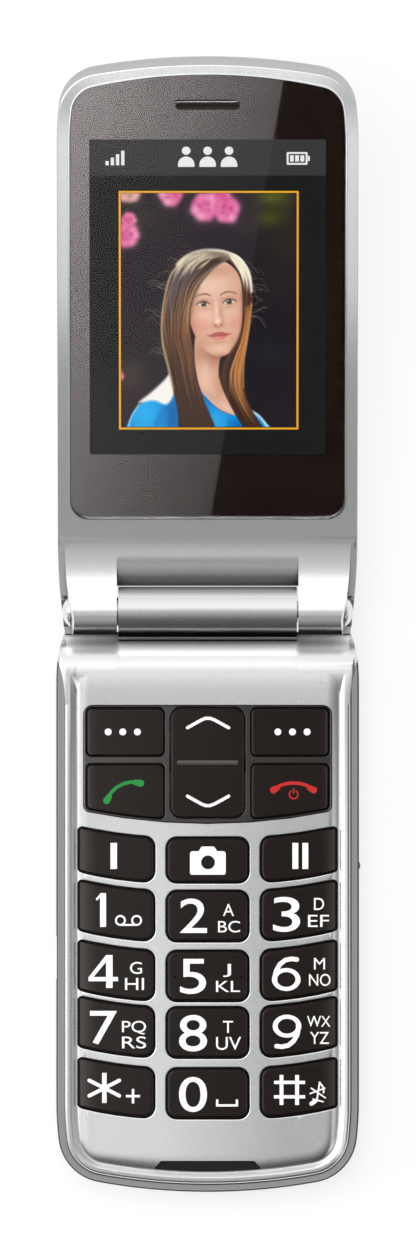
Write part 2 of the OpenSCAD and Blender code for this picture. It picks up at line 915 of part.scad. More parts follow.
module lid_inner_cover() {
    color(silver)
        lid_pose()
            difference() {
                intersection() {
                    lid_loft([[0, lid_split], [0, -1.7], [0.12, -1.2], [0.75, -0.45], [0.95, -0.28],
                              [1.3, lid_face], [1.4, 1], [1.6, 2.4], [1.9, 3.6], [2.3, 4.4]]);
                    lid_side_views();
                }
                loft([for (s = [[wall + 0.1, lid_split - 1], [wall + 0.1, lid_floor]])
                    [lid_outline(s[0], lid_cavity_y), s[1]]]);
                slab(window_outline(0.06), glass_top - glass_t - piece_gap, 1);
                loft([[window_outline(0.06), -0.5], [window_outline(0.35), lid_face],
                      [window_outline(0.36), 1]]);
                lcd_plan(0.25, lid_floor - 1, 0, 1);
                slab(box_outline(-5, 5, ear_y - 0.9, ear_y + 0.9, 0.8), lid_floor - 1, 0);
                rod(barrel_r + swing_gap, -barrel_half - swing_gap, barrel_half + swing_gap);
                rod(sleeve_r + run_fit + 0.01, -23.6, -barrel_half);
                rod(cartridge_r, barrel_half, cam_x[1] + 0.1);
                for (side = [-1, 1])
                    mirror([side < 0 ? 1 : 0, 0, 0])
                        rod(cap_r + piece_gap, 24.1, 28);
            }
}

module lid_outer_cover() {
    color(silver)
        lid_pose()
            difference() {
                intersection() {
                    lid_loft([[3.2, lid_back], [1.9, lid_back + 0.25], [0.9, lid_back + 0.9],
                              [0.25, lid_back + 2], [0, lid_back + 3.1], [0, lid_split - piece_gap]]);
                    lid_side_views();
                }
                loft([for (s = [[4, lid_back + 1.1], [2, lid_back + 1.8], [wall + 0.1, lid_back + 3],
                                [wall + 0.1, lid_split + 1]])
                    [lid_outline(s[0], lid_cavity_y), s[1]]]);
                rod(barrel_r + swing_gap, -barrel_half - swing_gap, barrel_half + swing_gap);
                translate([0, camera_y, lid_back - 1]) {
                    cylinder(r = 3.65, h = 1.75);
                    cylinder(r = 2.6, h = 4);
                }
            }
}

// Prism on the display's plan, grown all round
module lcd_plan(grow, z0, z1, r) {
    slab(box_outline(-lcd_half.x - grow, lcd_half.x + grow,
                     lcd_y - lcd_half.y - grow, lcd_y + lcd_half.y + grow, r), z0, z1);
}

module display_window() {
    color("#151211")
        lid_pose()
            difference() {
                slab(window_outline(), glass_top - glass_t, glass_top);
                slab(box_outline(-5.77, 5.77, ear_y - 0.58, ear_y + 0.58, 0.56), -3, 1);
            }
}

module lcd_module() {
    color("#20242a")
        lid_pose() {
            lcd_plan(0, -3.7, glass_top - glass_t - 0.1, 0.8);
            translate([-8, lcd_y - lcd_half.y - 4.4, -3.6])
                cube([16, 5, 0.2]);
        }
}

module lcd_frame() {
    color(steel)
        lid_pose()
            difference() {
                lcd_plan(1.35, -4.1, lid_floor - piece_gap, 1.2);
                lcd_plan(0.95, -3.8, 0, 1);
                slab(box_outline(-8.3, 8.3, 20, 30, 0.3), -3.8, 0);
                slab(box_outline(-10, 10, 45, 76, 2), -5, -3);
            }
}

module lid_board() {
    color(board_green)
        lid_pose()
            difference() {
                slab(box_outline(-21, 21, 23.4, 93, 3), -5.1, -4.3);
                slab(box_outline(-5, 5, camera_y - 5, camera_y + 5, 0.8), -6, -4);
            }
}

module earpiece() {
    color("#2b2b2b")
        lid_pose()
            slab(box_outline(-6.5, 6.5, ear_y - 2.5, ear_y + 2.5, 1.2), -4.6, lid_floor - piece_gap);
}

module earpiece_mesh() {
    color("#4a4a4a")
        lid_pose()
            slab(box_outline(-5.65, 5.65, ear_y - 0.5, ear_y + 0.5, 0.48),
                 glass_top - glass_t, glass_top - 0.35);
}

module camera_module() {
    color(black)
        lid_pose()
            translate([0, camera_y, 0]) {
                translate([-4.2, -4.2, -7.3])
                    cube([8.4, 8.4, 3]);
                translate([0, 0, -8.1])
                    cylinder(r = 2.4, h = 0.8);
            }
}

module camera_window() {
    color("#101418")
        lid_pose()
            translate([0, camera_y, lid_back])
                cylinder(r = 3.6, h = 0.7);
}

module lid_magnet() {
    color(steel)
        lid_pose()
            translate([14, ear_y - 1, -4.4])
                cube([5, 2, 2]);
}

base_front_cover();
base_rear_housing();
base_trim_ring();
nav_bezel();
chin_insert();
battery_cover();
battery();
battery_contacts();
main_board();
shield_cans();
dome_sheet();
keypad_mat();
microphone();
loudspeaker();
vibration_motor();
usb_socket();
sim_holder();
antenna_carrier();
housing_screws();
hinge_cartridge();
hinge_sleeve();
flex_cable();
side_switch_block();
side_slider();
soft_key(-1);  // soft_key_left
soft_key(1);  // soft_key_right
phone_key(-1);  // call_key
phone_key(1);  // end_key
nav_rocker();
for (k = KEYS)
    grid_key(k[1], k[2]);
lid_inner_cover();
lid_outer_cover();
display_window();
lcd_module();
lcd_frame();
lid_board();
earpiece();
earpiece_mesh();
camera_module();
camera_window();
hinge_caps();
hinge_cam_head();
lid_magnet();
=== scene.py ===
import bpy
import bmesh
import math
import json
import numpy as np
from mathutils import Matrix, Vector

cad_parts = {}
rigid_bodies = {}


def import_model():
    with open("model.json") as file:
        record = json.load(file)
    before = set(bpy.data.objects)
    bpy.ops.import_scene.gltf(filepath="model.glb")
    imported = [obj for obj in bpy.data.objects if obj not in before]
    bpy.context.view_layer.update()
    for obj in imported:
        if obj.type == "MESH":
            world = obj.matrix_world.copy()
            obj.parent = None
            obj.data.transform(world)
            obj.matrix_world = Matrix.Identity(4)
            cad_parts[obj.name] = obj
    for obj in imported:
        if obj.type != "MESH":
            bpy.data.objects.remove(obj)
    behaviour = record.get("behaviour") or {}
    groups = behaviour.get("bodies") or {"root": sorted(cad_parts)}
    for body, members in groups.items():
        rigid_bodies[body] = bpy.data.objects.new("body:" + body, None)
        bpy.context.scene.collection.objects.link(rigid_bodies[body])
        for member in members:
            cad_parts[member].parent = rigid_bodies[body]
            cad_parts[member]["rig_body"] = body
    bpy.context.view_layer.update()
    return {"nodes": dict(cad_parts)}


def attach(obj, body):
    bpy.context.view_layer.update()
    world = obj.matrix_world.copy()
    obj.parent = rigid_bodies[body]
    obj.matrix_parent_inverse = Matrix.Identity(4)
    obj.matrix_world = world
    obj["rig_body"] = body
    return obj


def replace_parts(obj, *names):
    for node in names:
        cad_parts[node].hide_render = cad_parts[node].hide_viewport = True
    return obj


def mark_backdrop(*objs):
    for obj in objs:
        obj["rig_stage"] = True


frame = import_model()
mm = 0.001
scene = bpy.context.scene

# ---- Camera ----
# A long lens hangs straight above the opened phone, which lies on its back with the
# keypad end towards the lower edge of the picture. The keypad face is 3.494 m away.
keypad_face_z = 10.45
lens_height = 3494.0

camera_data = bpy.data.cameras.new("overhead_camera")
camera_data.lens = 550
camera_data.sensor_fit = "VERTICAL"
camera_data.sensor_height = 36
camera_data.clip_start = 0.5
camera_data.clip_end = 12
camera = bpy.data.objects.new("overhead_camera", camera_data)
camera.location = (0.07 * mm, 51.3 * mm, (keypad_face_z + lens_height) * mm)
scene.collection.objects.link(camera)
scene.camera = camera
scene.view_settings.view_transform = "Standard"


# ---- Studio ----
# A pale table top under a soft grey ceiling that is brightest towards the hinge end and
# the left, with a white horizon all round, and two soft boxes that light the phone.
def tree_of(owner):
    """The cleared node tree of a material or a world."""
    owner.use_nodes = True
    owner.node_tree.nodes.clear()
    return owner.node_tree


def put(tree, kind, **plugs):
    """A node whose inputs, named or numbered (in0), get a value or another node's socket."""
    node = tree.nodes.new("ShaderNode" + kind)
    settings = [name for name in plugs if name.startswith("set_")]
    for name in settings:
        setattr(node, name[4:], plugs.pop(name))
    for name, value in plugs.items():
        numbered = name.startswith("in") and name[2:].isdigit()
        socket = node.inputs[int(name[2:]) if numbered else name.replace("_", " ")]
        if isinstance(value, bpy.types.NodeSocket):
            tree.links.new(value, socket)
        else:
            socket.default_value = value
    return node


def maths(tree, how, a, b, clamp=False):
    return put(tree, "Math", set_operation=how, set_use_clamp=clamp, in0=a, in1=b).outputs[0]


def ramp(tree, value, stops):
    """Colour ramp with (position, grey) stops."""
    node = put(tree, "ValToRGB", in0=value)
    band = node.color_ramp
    band.interpolation = "EASE"
    while len(band.elements) < len(stops):
        band.elements.new(0.5)
    for element, (place, grey) in zip(band.elements, stops):
        element.position = place
        element.color = (grey, grey, grey, 1)
    return node.outputs[0]


def remap(tree, value, low, high, to_low, to_high, how="LINEAR"):
    return put(tree, "MapRange", set_interpolation_type=how, in0=value, in1=low, in2=high, in3=to_low,
               in4=to_high).outputs[0]


sky = bpy.data.worlds.new("studio")
scene.world = sky
sky_tree = tree_of(sky)
direction = put(sky_tree, "TexCoord").outputs["Generated"]
parts = put(sky_tree, "SeparateXYZ", in0=direction).outputs
swing = maths(sky_tree, "ARCTAN2", parts[1], parts[2])
along = maths(sky_tree, "ADD", maths(sky_tree, "DIVIDE", swing, math.tau), 0.5)
# degrees from the zenith towards the hinge end, as a share of the full turn
lengthwise = ramp(sky_tree, along, [(0.5 + degrees / 360, grey) for degrees, grey in [
    (-100, 0.015), (-50, 0.05), (-30, 0.09), (-12, 0.20), (0, 0.25), (18, 0.58), (58, 0.5), (88, 0.12),
    (125, 0.02)]])
sideways = ramp(sky_tree, maths(sky_tree, "ADD", maths(sky_tree, "MULTIPLY", parts[0], 0.5), 0.5), [
    (0.0, 1.6), (0.06, 1.4), (0.16, 1.0), (0.42, 0.62), (0.5, 0.5), (0.58, 0.4), (0.7, 0.2), (0.88, 0.09),
    (1.0, 0.12)])
ceiling = maths(sky_tree, "MULTIPLY", maths(sky_tree, "MULTIPLY", lengthwise, sideways), 4.0)
low_front = put(sky_tree, "VectorMath", set_operation="DOT_PRODUCT", in0=direction,
                in1=(0.79, -0.44, 0.43)).outputs["Value"]
ceiling = maths(sky_tree, "ADD", ceiling, remap(sky_tree, low_front, 0.94, 0.985, 0.0, 0.8))
horizon = remap(sky_tree, parts[2], 0.05, 0.01, 0.0, 1.0)
ceiling = put(sky_tree, "Mix", in0=horizon, in2=ceiling, in3=1.0).outputs[0]
path = put(sky_tree, "LightPath").outputs
sees_backdrop = maths(sky_tree, "MAXIMUM", path["Is Camera Ray"], path["Is Transmission Ray"], clamp=True)
level = put(sky_tree, "Mix", in0=path["Is Diffuse Ray"], in2=ceiling, in3=0.45).outputs[0]
level = put(sky_tree, "Mix", in0=sees_backdrop, in2=level, in3=1.0).outputs[0]
glow = put(sky_tree, "Background", in0=level, in1=1.0)
put(sky_tree, "OutputWorld", in0=glow.outputs[0])


def soft_box(name, place, size, watts):
    """An area light that is turned to the middle of the phone."""
    phone_middle = Vector((0, 50, 8))
    lamp = bpy.data.lights.new(name, "AREA")
    lamp.shape = "RECTANGLE"
    lamp.size = size[0] * mm
    lamp.size_y = size[1] * mm
    lamp.energy = watts
    box = bpy.data.objects.new(name, lamp)
    box.location = Vector(place) * mm
    box.rotation_euler = (phone_middle - Vector(place)).to_track_quat("-Z", "Y").to_euler()
    box.visible_camera = False
    box.visible_glossy = False
    scene.collection.objects.link(box)


soft_box("box_overhead", (-150, 250, 900), (700, 700), 8.0)
soft_box("box_left", (-800, 0, 450), (400, 700), 3.0)

floor_mesh = bpy.data.meshes.new("table_top")
floor_mesh.from_pydata([(-3, -3, 0), (3, -3, 0), (3, 3, 0), (-3, 3, 0)], [], [(0, 1, 2, 3)])
table_top = bpy.data.objects.new("table_top", floor_mesh)
table_top.location = (0, 0, -0.00002)
scene.collection.objects.link(table_top)
table_paint = bpy.data.materials.new("pale_table")
floor_tree = tree_of(table_paint)
table_grain = put(floor_tree, "TexNoise", Scale=90.0, Detail=4.0).outputs[0]
table_tone = ramp(floor_tree, table_grain, [(0.3, 0.80), (0.7, 0.83)])
matt = put(floor_tree, "BsdfDiffuse", Color=table_tone)
white = put(floor_tree, "Emission", Color=(1, 1, 1, 1), Strength=1.0)
floor_path = put(floor_tree, "LightPath").outputs
seen = maths(floor_tree, "MAXIMUM", floor_path["Is Camera Ray"], floor_path["Is Transmission Ray"])
seen = maths(floor_tree, "MAXIMUM", seen, floor_path["Is Glossy Ray"])
share = maths(floor_tree, "MULTIPLY", seen, 0.8)
blend = put(floor_tree, "MixShader", in0=share, in1=matt.outputs[0], in2=white.outputs[0])
put(floor_tree, "OutputMaterial", in0=blend.outputs[0])
floor_mesh.materials.append(table_paint)


# ---- Rear housing ----
# The grey tray of the base, moulded in one piece: rounded back edges, a bay for the
# battery, four screw posts, and a neck that reaches under the hinge barrel.
base_w, base_h, chin_y = 55.6, 10.5, 53.1
base_split_z = 5.6
hinge_y, hinge_z, barrel_r, barrel_half = 53.5, 11.1, 4.55, 16.35
heel = (50.2, 3.0, 3.0)
shoulder_y, shoulder_r = 49.8, 7.4
screw_places = [(-20.5, 40.2), (20.5, 40.2), (-15, -43.6), (15, -43.6)]
usb_y, switch_y = -10.0, 6.85
door_seat_z = 1.15


def arc(cx, cy, r, start, end, steps, first=0):
    angles = [math.radians(start + (end - start) * i / steps) for i in range(first, steps + 1)]
    return [(cx + r * math.cos(a), cy + r * math.sin(a)) for a in angles]


def circle(cx, cy, r, steps):
    return arc(cx, cy, r, 0, 360 - 360 / steps, steps - 1)


def rounded(corners, radii, steps=6):
    """Outline with a fillet of its own radius at each corner."""
    outline = []
    for i, (corner, r) in enumerate(zip(corners, radii)):
        b = Vector(corner)
        to_a = (Vector(corners[i - 1]) - b).normalized()
        to_c = (Vector(corners[(i + 1) % len(corners)]) - b).normalized()
        if r <= 0:
            outline.append(tuple(b))
            continue
        half = to_a.angle(to_c) / 2
        centre = b + (to_a + to_c).normalized() * r / math.sin(half)
        p, q = b + to_a * r / math.tan(half) - centre, b + to_c * r / math.tan(half) - centre
        start = math.degrees(math.atan2(p.y, p.x))
        turn = (math.degrees(math.atan2(q.y, q.x)) - start + 540) % 360 - 180
        outline += arc(centre.x, centre.y, r, start, start + turn, steps)
    return outline


def box_outline(x0, x1, y0, y1, r, steps=6):
    return rounded([(x0, y0), (x1, y0), (x1, y1), (x0, y1)], [r] * 4, steps)


def half_shell(width, tip, corner_r, tip_r, taper_y, taper_r, cut, inset, fine=1):
    """Half of a phone's plan that points to +Y: tapering sides, side arcs, corners and a shallow tip."""
    side_r, side_in = 60.0, 0.35
    corner_x = width / 2 - corner_r - side_in
    tip_c = tip - tip_r
    corner_y = tip_c + math.sqrt((tip_r - corner_r) ** 2 - corner_x ** 2)
    join = math.degrees(math.atan2(corner_y - tip_c, corner_x))
    side_a = math.degrees(math.acos(1 - side_in / (side_r - corner_r)))
    side_y = corner_y - (side_r - corner_r) * math.sin(math.radians(side_a))
    cut_a = math.degrees(math.asin((cut - taper_y) / (taper_r - inset)))
    right = arc(width / 2 - taper_r, taper_y, taper_r - inset, cut_a, 0, 8 * fine)
    right += arc(width / 2 - side_r, side_y, side_r - inset, 0, side_a, 4 * fine)
    right += arc(corner_x, corner_y, corner_r - inset, side_a, join, 16 * fine, 1)
    right += arc(0, tip_c, tip_r - inset, join, 90, 8 * fine, 1)
    return right + [(-x, y) for x, y in reversed(right[:-1])]


def base_outline(inset, cut=shoulder_y):
    return [(-x, -y) for x, y in half_shell(base_w, chin_y, 9, 112, -41.3, 23.5, -cut, inset)]


def solid(name, points, faces):
    """Closed mesh from points in millimetres."""
    mesh = bpy.data.meshes.new(name)
    mesh.from_pydata([(x * mm, y * mm, z * mm) for x, y, z in points], [], faces)
    piece = bpy.data.objects.new(name, mesh)
    scene.collection.objects.link(piece)
    shape = bmesh.new()
    shape.from_mesh(mesh)
    bmesh.ops.recalc_face_normals(shape, faces=shape.faces)
    shape.to_mesh(mesh)
    shape.free()
    return piece


def loft(name, rings, put_at=lambda u, v, w: (u, v, w)):
    """Closed solid through outlines of equal point count: [(outline, height), ...]."""
    n = len(rings[0][0])
    points = [put_at(u, v, w) for outline, w in rings for u, v in outline]
    faces = [(k * n + i, k * n + (i + 1) % n, (k + 1) * n + (i + 1) % n, (k + 1) * n + i)
             for k in range(len(rings) - 1) for i in range(n)]
    faces += [tuple(range(n)), tuple(range((len(rings) - 1) * n, len(rings) * n))]
    return solid(name, points, faces)


def slab(name, outline, z0, z1):
    return loft(name, [(outline, z0), (outline, z1)])


def across(name, side_view, x0, x1):
    """Extrudes a side view, drawn as (y, z), from x0 to x1."""
    return loft(name, [(side_view, x0), (side_view, x1)], lambda u, v, w: (w, u, v))


def rod(name, r, x0, x1, y=hinge_y, z=hinge_z):
    return across(name, circle(y, z, r, 96), x0, x1)


def pin(name, x, y, r, z0, z1, steps=24):
    return slab(name, circle(x, y, r, steps), z0, z1)


def carve(body, cutters, how="DIFFERENCE"):
    """Cuts, joins or trims a solid with others, which are used up."""
    for cutter in cutters:
        step = body.modifiers.new("carve", "BOOLEAN")
        step.operation, step.object, step.solver = how, cutter, "EXACT"
    shaped = bpy.data.meshes.new_from_object(body.evaluated_get(bpy.context.evaluated_depsgraph_get()))
    body.modifiers.clear()
    body.data = shaped
    for cutter in cutters:
        bpy.data.objects.remove(cutter)
    return body


def link_view(a, b):
    """Side view of two circles (y, z, r) joined by their outer tangents."""
    dy, dz = b[0] - a[0], b[1] - a[1]
    heading = math.degrees(math.atan2(dz, dy))
    lean = math.degrees(math.acos((a[2] - b[2]) / math.hypot(dy, dz)))
    return (arc(a[0], a[1], a[2], heading + lean, heading - lean + 360, 72)
            + arc(b[0], b[1], b[2], heading - lean, heading + lean, 40))


real_corner = math.radians(32)


def settle(piece, body, material):
    """Smooth shading with real corners kept, a finish, and the body that the piece rides on."""
    piece.data.materials.clear()
    piece.data.materials.append(material)
    piece.data.shade_smooth()
    piece.data.set_sharp_from_angle(angle=real_corner)
    even = piece.modifiers.new("even_normals", "WEIGHTED_NORMAL")
    even.keep_sharp = True
    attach(piece, body)
    return piece


def body_of_node(node):
    return frame["nodes"][node]["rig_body"]


end_y = hinge_y + 5
tray = loft("rear_tray", [(base_outline(i, end_y), z) for i, z in [
    (3.3, 0), (2.7, 0.1), (2.1, 0.25), (1.55, 0.5), (1.1, 0.8), (0.75, 1.15), (0.45, 1.6),
    (0.24, 2.1), (0.1, 2.6), (0.02, 3.0), (0, 3.4), (0, 5.3), (0.03, 5.45), (0.1, 5.55),
    (0.2, base_split_z)]])
back_edge_r = 2.5
end_view = ([(-60, 0)] + arc(shoulder_y - back_edge_r, back_edge_r, back_edge_r, -90, 0, 12)
            + [(shoulder_y, 8), (-60, 8)])
reach = across("reach", end_view, -30, 30)
carve(reach, [across("neck", link_view((hinge_y, hinge_z, barrel_r), heel), -barrel_half, barrel_half)],
      "UNION")
carve(tray, [reach], "INTERSECT")
bay = loft("bay", [(base_outline(i, 47.8), z) for i, z in [(3.3, 1.2), (2.1, 1.9), (1.5, 3), (1.3, 6.6)]])


def back_door_outline(grow):
    return box_outline(-23 - grow, 23 + grow, -46.5 - grow, 43 + grow, 8 + grow, 12)


carve(tray, [bay, slab("door_seat", back_door_outline(0.1), -1, door_seat_z)])
carve(tray, [slab("ledge", back_door_outline(0.9), door_seat_z, 2.0)]
      + [pin("post", x, y, 2.1, 1.2, 5.85) for x, y in screw_places]
      + [slab("battery_wall", box_outline(-18.6, 18.6, -31.1, 21.1, 1), 1.2, 5.2)], "UNION")


def speaker_slots():
    return [slab("slot", box_outline(i * 2.4 - 0.5, i * 2.4 + 0.5, 34, 40, 0.45), -1, 3)
            for i in range(-2, 3)]


carve(tray, [slab("battery_bay", box_outline(-17.8, 17.8, -30.3, 20.3, 0.8), 0.5, 6)] + speaker_slots()
      + [pin("bore", x, y, 1, 0, 8) for x, y in screw_places]
      + [pin("head_seat", x, y, 1.75, -1, 2.2) for x, y in screw_places]
      + [slab("usb_mouth", box_outline(-30, -24, usb_y - 4, usb_y + 4, 0.01), 2.7, 5.7),
         slab("switch_mouth", box_outline(24, 30, switch_y - 2.95, switch_y + 4.45, 0.3), 3, 5),
         rod("barrel_seat", barrel_r + 0.05, -barrel_half - 1, barrel_half + 1)])


def new_group(name, **plugs):
    """A shader group with these inputs, whose results are a Color, a Roughness and a Normal."""
    group = bpy.data.node_groups.new(name, "ShaderNodeTree")
    for plug, kind in plugs.items():
        group.interface.new_socket(plug.replace("_", " "), in_out="INPUT", socket_type="NodeSocket" + kind)
    for plug, kind in {"Color": "Color", "Roughness": "Float", "Normal": "Vector"}.items():
        group.interface.new_socket(plug, in_out="OUTPUT", socket_type="NodeSocket" + kind)
    given = group.nodes.new("NodeGroupInput").outputs
    return group, given, put(group, "TexCoord").outputs["Object"]


def give_out(group, *results):
    out = group.nodes.new("NodeGroupOutput")
    for plug, result in zip(("Color", "Roughness", "Normal"), results):
        group.links.new(result, out.inputs[plug])
    return group


def noise(tree, place, scale, detail, roughness=0.5):
    return put(tree, "TexNoise", Vector=place, Scale=scale, Detail=detail, Roughness=roughness).outputs[0]


def swayed(tree, level, cloud, spread, clamp=False):
    """A level that a noise moves up and down within a spread."""
    return maths(tree, "ADD", level, maths(tree, "MULTIPLY", maths(tree, "SUBTRACT", cloud, 0.5), spread),
                 clamp)


def scaled(tree, tone, share):
    return put(tree, "VectorMath", set_operation="SCALE", in0=tone, Scale=share).outputs[0]


def bumped(tree, height, strength, distance):
    return put(tree, "Bump", Strength=strength, Distance=distance, Height=height).outputs[0]


def fine_grain():
    """Moulded grain: a soft pebble on the surface, with a slightly uneven tone and gloss."""
    group, given, place = new_group("moulded_grain", Tone="Color", Tone_spread="Float", Gloss="Float",
                                    Gloss_spread="Float", Pebble_size="Float", Pebble_depth="Float")
    fineness = maths(group, "DIVIDE", 1.0, given["Pebble size"])
    pebble = noise(group, place, fineness, 3.0, 0.6)
    cloud = noise(group, place, 60.0, 3.0)
    lift = swayed(group, 1.0, cloud, given["Tone spread"])
    tone = scaled(group, given["Tone"], lift)
    rough = swayed(group, given["Gloss"], cloud, given["Gloss spread"], clamp=True)
    bump = bumped(group, pebble, 0.35, given["Pebble depth"])
    return give_out(group, tone, rough, bump)


moulded_grain = fine_grain()


def skinned(material, **shader):
    """Ends a material's nodes in a surface with these inputs."""
    skin = put(material.node_tree, "BsdfPrincipled", **shader)
    put(material.node_tree, "OutputMaterial", in0=skin.outputs[0])
    return material


def from_group(name, group, values, **shader):
    """A material that takes its colour, gloss and normal from a shader group."""
    material = bpy.data.materials.new(name)
    given = put(tree_of(material), "Group", set_node_tree=group, **values).outputs
    return skinned(material, Base_Color=given[0], Roughness=given[1], Normal=given[2], **shader)


def with_grain(name, tone, gloss, spread, gloss_spread, pebble, depth, **shader):
    return from_group(name, moulded_grain, dict(Tone=tone + (1,), Tone_spread=spread, Gloss=gloss,
                                                Gloss_spread=gloss_spread,
                                                Pebble_size=pebble * mm, Pebble_depth=depth * mm), **shader)


housing_grey = with_grain("housing_grey", (0.09, 0.091, 0.094), 0.4, 0.06, 0.08, 0.1, 0.004, Metallic=0.5)
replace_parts(settle(tray, "base", housing_grey), "base_rear_housing")

# ---- Battery door ----
# A thin grey lid in the middle of the back, with soft edges and the loudspeaker's slots.
door = loft("back_door", [(back_door_outline(g), z) for g, z in [
    (-0.45, 0), (-0.25, 0.03), (-0.1, 0.12), (-0.02, 0.26), (0, 0.4), (0, 1.1)]])
carve(door, speaker_slots())
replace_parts(settle(door, "base", housing_grey), "battery_cover")


# ---- Battery and its contacts ----
# A flat lithium cell in a dark wrap, and the gilt springs that it presses on.
def finish_node(node, material):
    """Gives a CAD node that is kept as it is its finish."""
    for slot in frame["nodes"][node].material_slots:
        slot.material = material


battery_wrap = with_grain("battery_wrap", (0.045, 0.05, 0.058), 0.34, 0.15, 0.15, 0.4, 0.01)
finish_node("battery", battery_wrap)
contact_gold = with_grain("contact_gold", (0.86, 0.6, 0.24), 0.28, 0.1, 0.12, 0.08, 0.002, Metallic=1.0)
finish_node("battery_contacts", contact_gold)


# ---- Board and what is soldered to it ----
# A green glass-fibre board with copper tracks under its lacquer. Tin shield cans, the steel
# domes of the keys, the motor, the socket and the card holder are pressed from bright sheet.
def two_tones(tree, mask, dark, bright):
    return put(tree, "Mix", set_data_type="RGBA", in0=mask, in6=dark + (1,), in7=bright + (1,)).outputs[2]


def new_material(name):
    """A material without nodes yet, and the place on the piece that its pattern follows."""
    material = bpy.data.materials.new(name)
    tree = tree_of(material)
    return material, tree, put(tree, "TexCoord").outputs["Object"]


def board_finish():
    material, tree, place = new_material("board_lacquer")
    cells = put(tree, "TexVoronoi", set_feature="DISTANCE_TO_EDGE", Vector=place, Scale=420.0).outputs[0]
    tracks = remap(tree, cells, 0.05, 0.09, 1.0, 0.0)
    cloud = noise(tree, place, 150.0, 3.0)
    tone = two_tones(tree, tracks, (0.006, 0.075, 0.03), (0.016, 0.15, 0.06))
    gloss = maths(tree, "ADD", 0.22, maths(tree, "MULTIPLY", cloud, 0.15))
    relief = bumped(tree, tracks, 0.4, 0.00003)
    return skinned(material, Base_Color=tone, Roughness=gloss, Normal=relief)


def brushed_sheet():
    """Drawn or rolled metal: fine lines along one direction in its tone, gloss and relief."""
    group, given, place = new_group("rolled_lines", Tone="Color", Gloss="Float", Line_width="Float")
    drawn = put(group, "VectorMath", set_operation="MULTIPLY", in0=place, in1=(0.03, 1.0, 1.0)).outputs[0]
    lines = noise(group, drawn, maths(group, "DIVIDE", 1.0, given["Line width"]), 3.0)
    shift = maths(group, "ADD", 0.92, maths(group, "MULTIPLY", lines, 0.16))
    tone = scaled(group, given["Tone"], shift)
    rough = maths(group, "ADD", given["Gloss"], maths(group, "MULTIPLY", lines, 0.12), clamp=True)
    relief = bumped(group, lines, 0.2, 0.00001)
    return give_out(group, tone, rough, relief)


rolled_lines = brushed_sheet()


def rolled(name, tone, gloss, width=0.08):
    return from_group(name, rolled_lines, dict(Tone=tone + (1,), Gloss=gloss, Line_width=width * mm),
                      Metallic=1.0)


board_lacquer = board_finish()
tin = rolled("tin_sheet", (0.66, 0.66, 0.65), 0.24)
spring_steel = rolled("spring_steel", (0.6, 0.6, 0.6), 0.16, 0.04)
speaker_black = with_grain("speaker_black", (0.018, 0.018, 0.019), 0.5, 0.15, 0.1, 0.12, 0.01)
for node, material in [
        ("main_board", board_lacquer), ("shield_cans", tin), ("dome_sheet", spring_steel),
        ("microphone", tin), ("vibration_motor", spring_steel), ("usb_socket", tin), ("sim_holder", tin),
        ("loudspeaker", speaker_black)]:
    finish_node(node, material)


# ---- Antenna carrier and screws ----
# A moulded carrier of plain cream plastic below the board, and four small steel screws.
finish_node("antenna_carrier", with_grain("carrier_plastic", (0.62, 0.59, 0.5), 0.5, 0.08, 0.1, 0.15, 0.01))
finish_node("housing_screws", spring_steel)


# ---- Side switch ----
# A little metal slider on the right edge that snaps up and down in a black block.
finish_node("side_switch_block", speaker_black)
finish_node("side_slider", rolled("slider_metal", (0.34, 0.34, 0.35), 0.3, 0.05))


# ---- Hinge fittings ----
# A sprung steel cartridge and a sleeve run in the barrel. A cam head turns with the lid, and
# an amber printed cable passes from the board through the barrel to the lid.
def cable_finish():
    material, tree, place = new_material("cable_amber")
    tracks = put(tree, "TexWave", Vector=place, Scale=700.0, Distortion=0.2).outputs[1]
    tone = two_tones(tree, tracks, (0.28, 0.085, 0.012), (0.46, 0.2, 0.05))
    relief = bumped(tree, tracks, 0.3, 0.00002)
    return skinned(material, Base_Color=tone, Roughness=0.3, Normal=relief)


for node in ("hinge_cartridge", "hinge_sleeve", "hinge_cam_head"):
    finish_node(node, spring_steel)
finish_node("flex_cable", cable_finish())


# ---- Front cover ----
# The silver moulding around the keys. Its key face is crowned at the sides inside a rim
# groove, it rolls down in front of the hinge, and it carries the hinge's centre knuckle.
cover_inset = 1.65
cover_low_z = base_split_z + 0.05
neck_y, neck_r = 49.6, 7.0
flare_y, flare_r = 36.4, 26.0
columns = [(-23.75, -9.83), (-7.45, 7.45), (9.83, 23.75)]
rows = [(11.95, 3.85), (2.2, -6.95), (-8.8, -17.9), (-19.15, -28.3), (-30.35, -39.4)]
row_bend_x, row_bend_r = 6.6, 70.0
nav_half, nav_low, nav_high, nav_bend_r = 22.8, 14.57, 36.35, 113.0


def row_rise(x):
    return max(abs(x) - row_bend_x, 0) ** 2 / (2 * row_bend_r)


def key_outline(column, row, grow):
    """Plan of a key: its rows bend up towards the sides, and its outer corners are tight."""
    x0, x1 = columns[column][0] - grow, columns[column][1] + grow
    top, low = rows[row][0] + grow, rows[row][1] - grow
    r0 = (0.6 if column == 0 else 1.8) + grow
    r1 = (0.6 if column == 2 else 1.8) + grow
    shares = [0, 0.25, 0.5, 0.75, 1]
    lower = [(x0 + (x1 - x0) * t, low + row_rise(x0 + (x1 - x0) * t)) for t in shares]
    upper = [(x0 + (x1 - x0) * t, top + row_rise(x0 + (x1 - x0) * t)) for t in reversed(shares)]
    return rounded(lower + upper, [r0, 0, 0, 0, r1, r1, 0, 0, 0, r0])


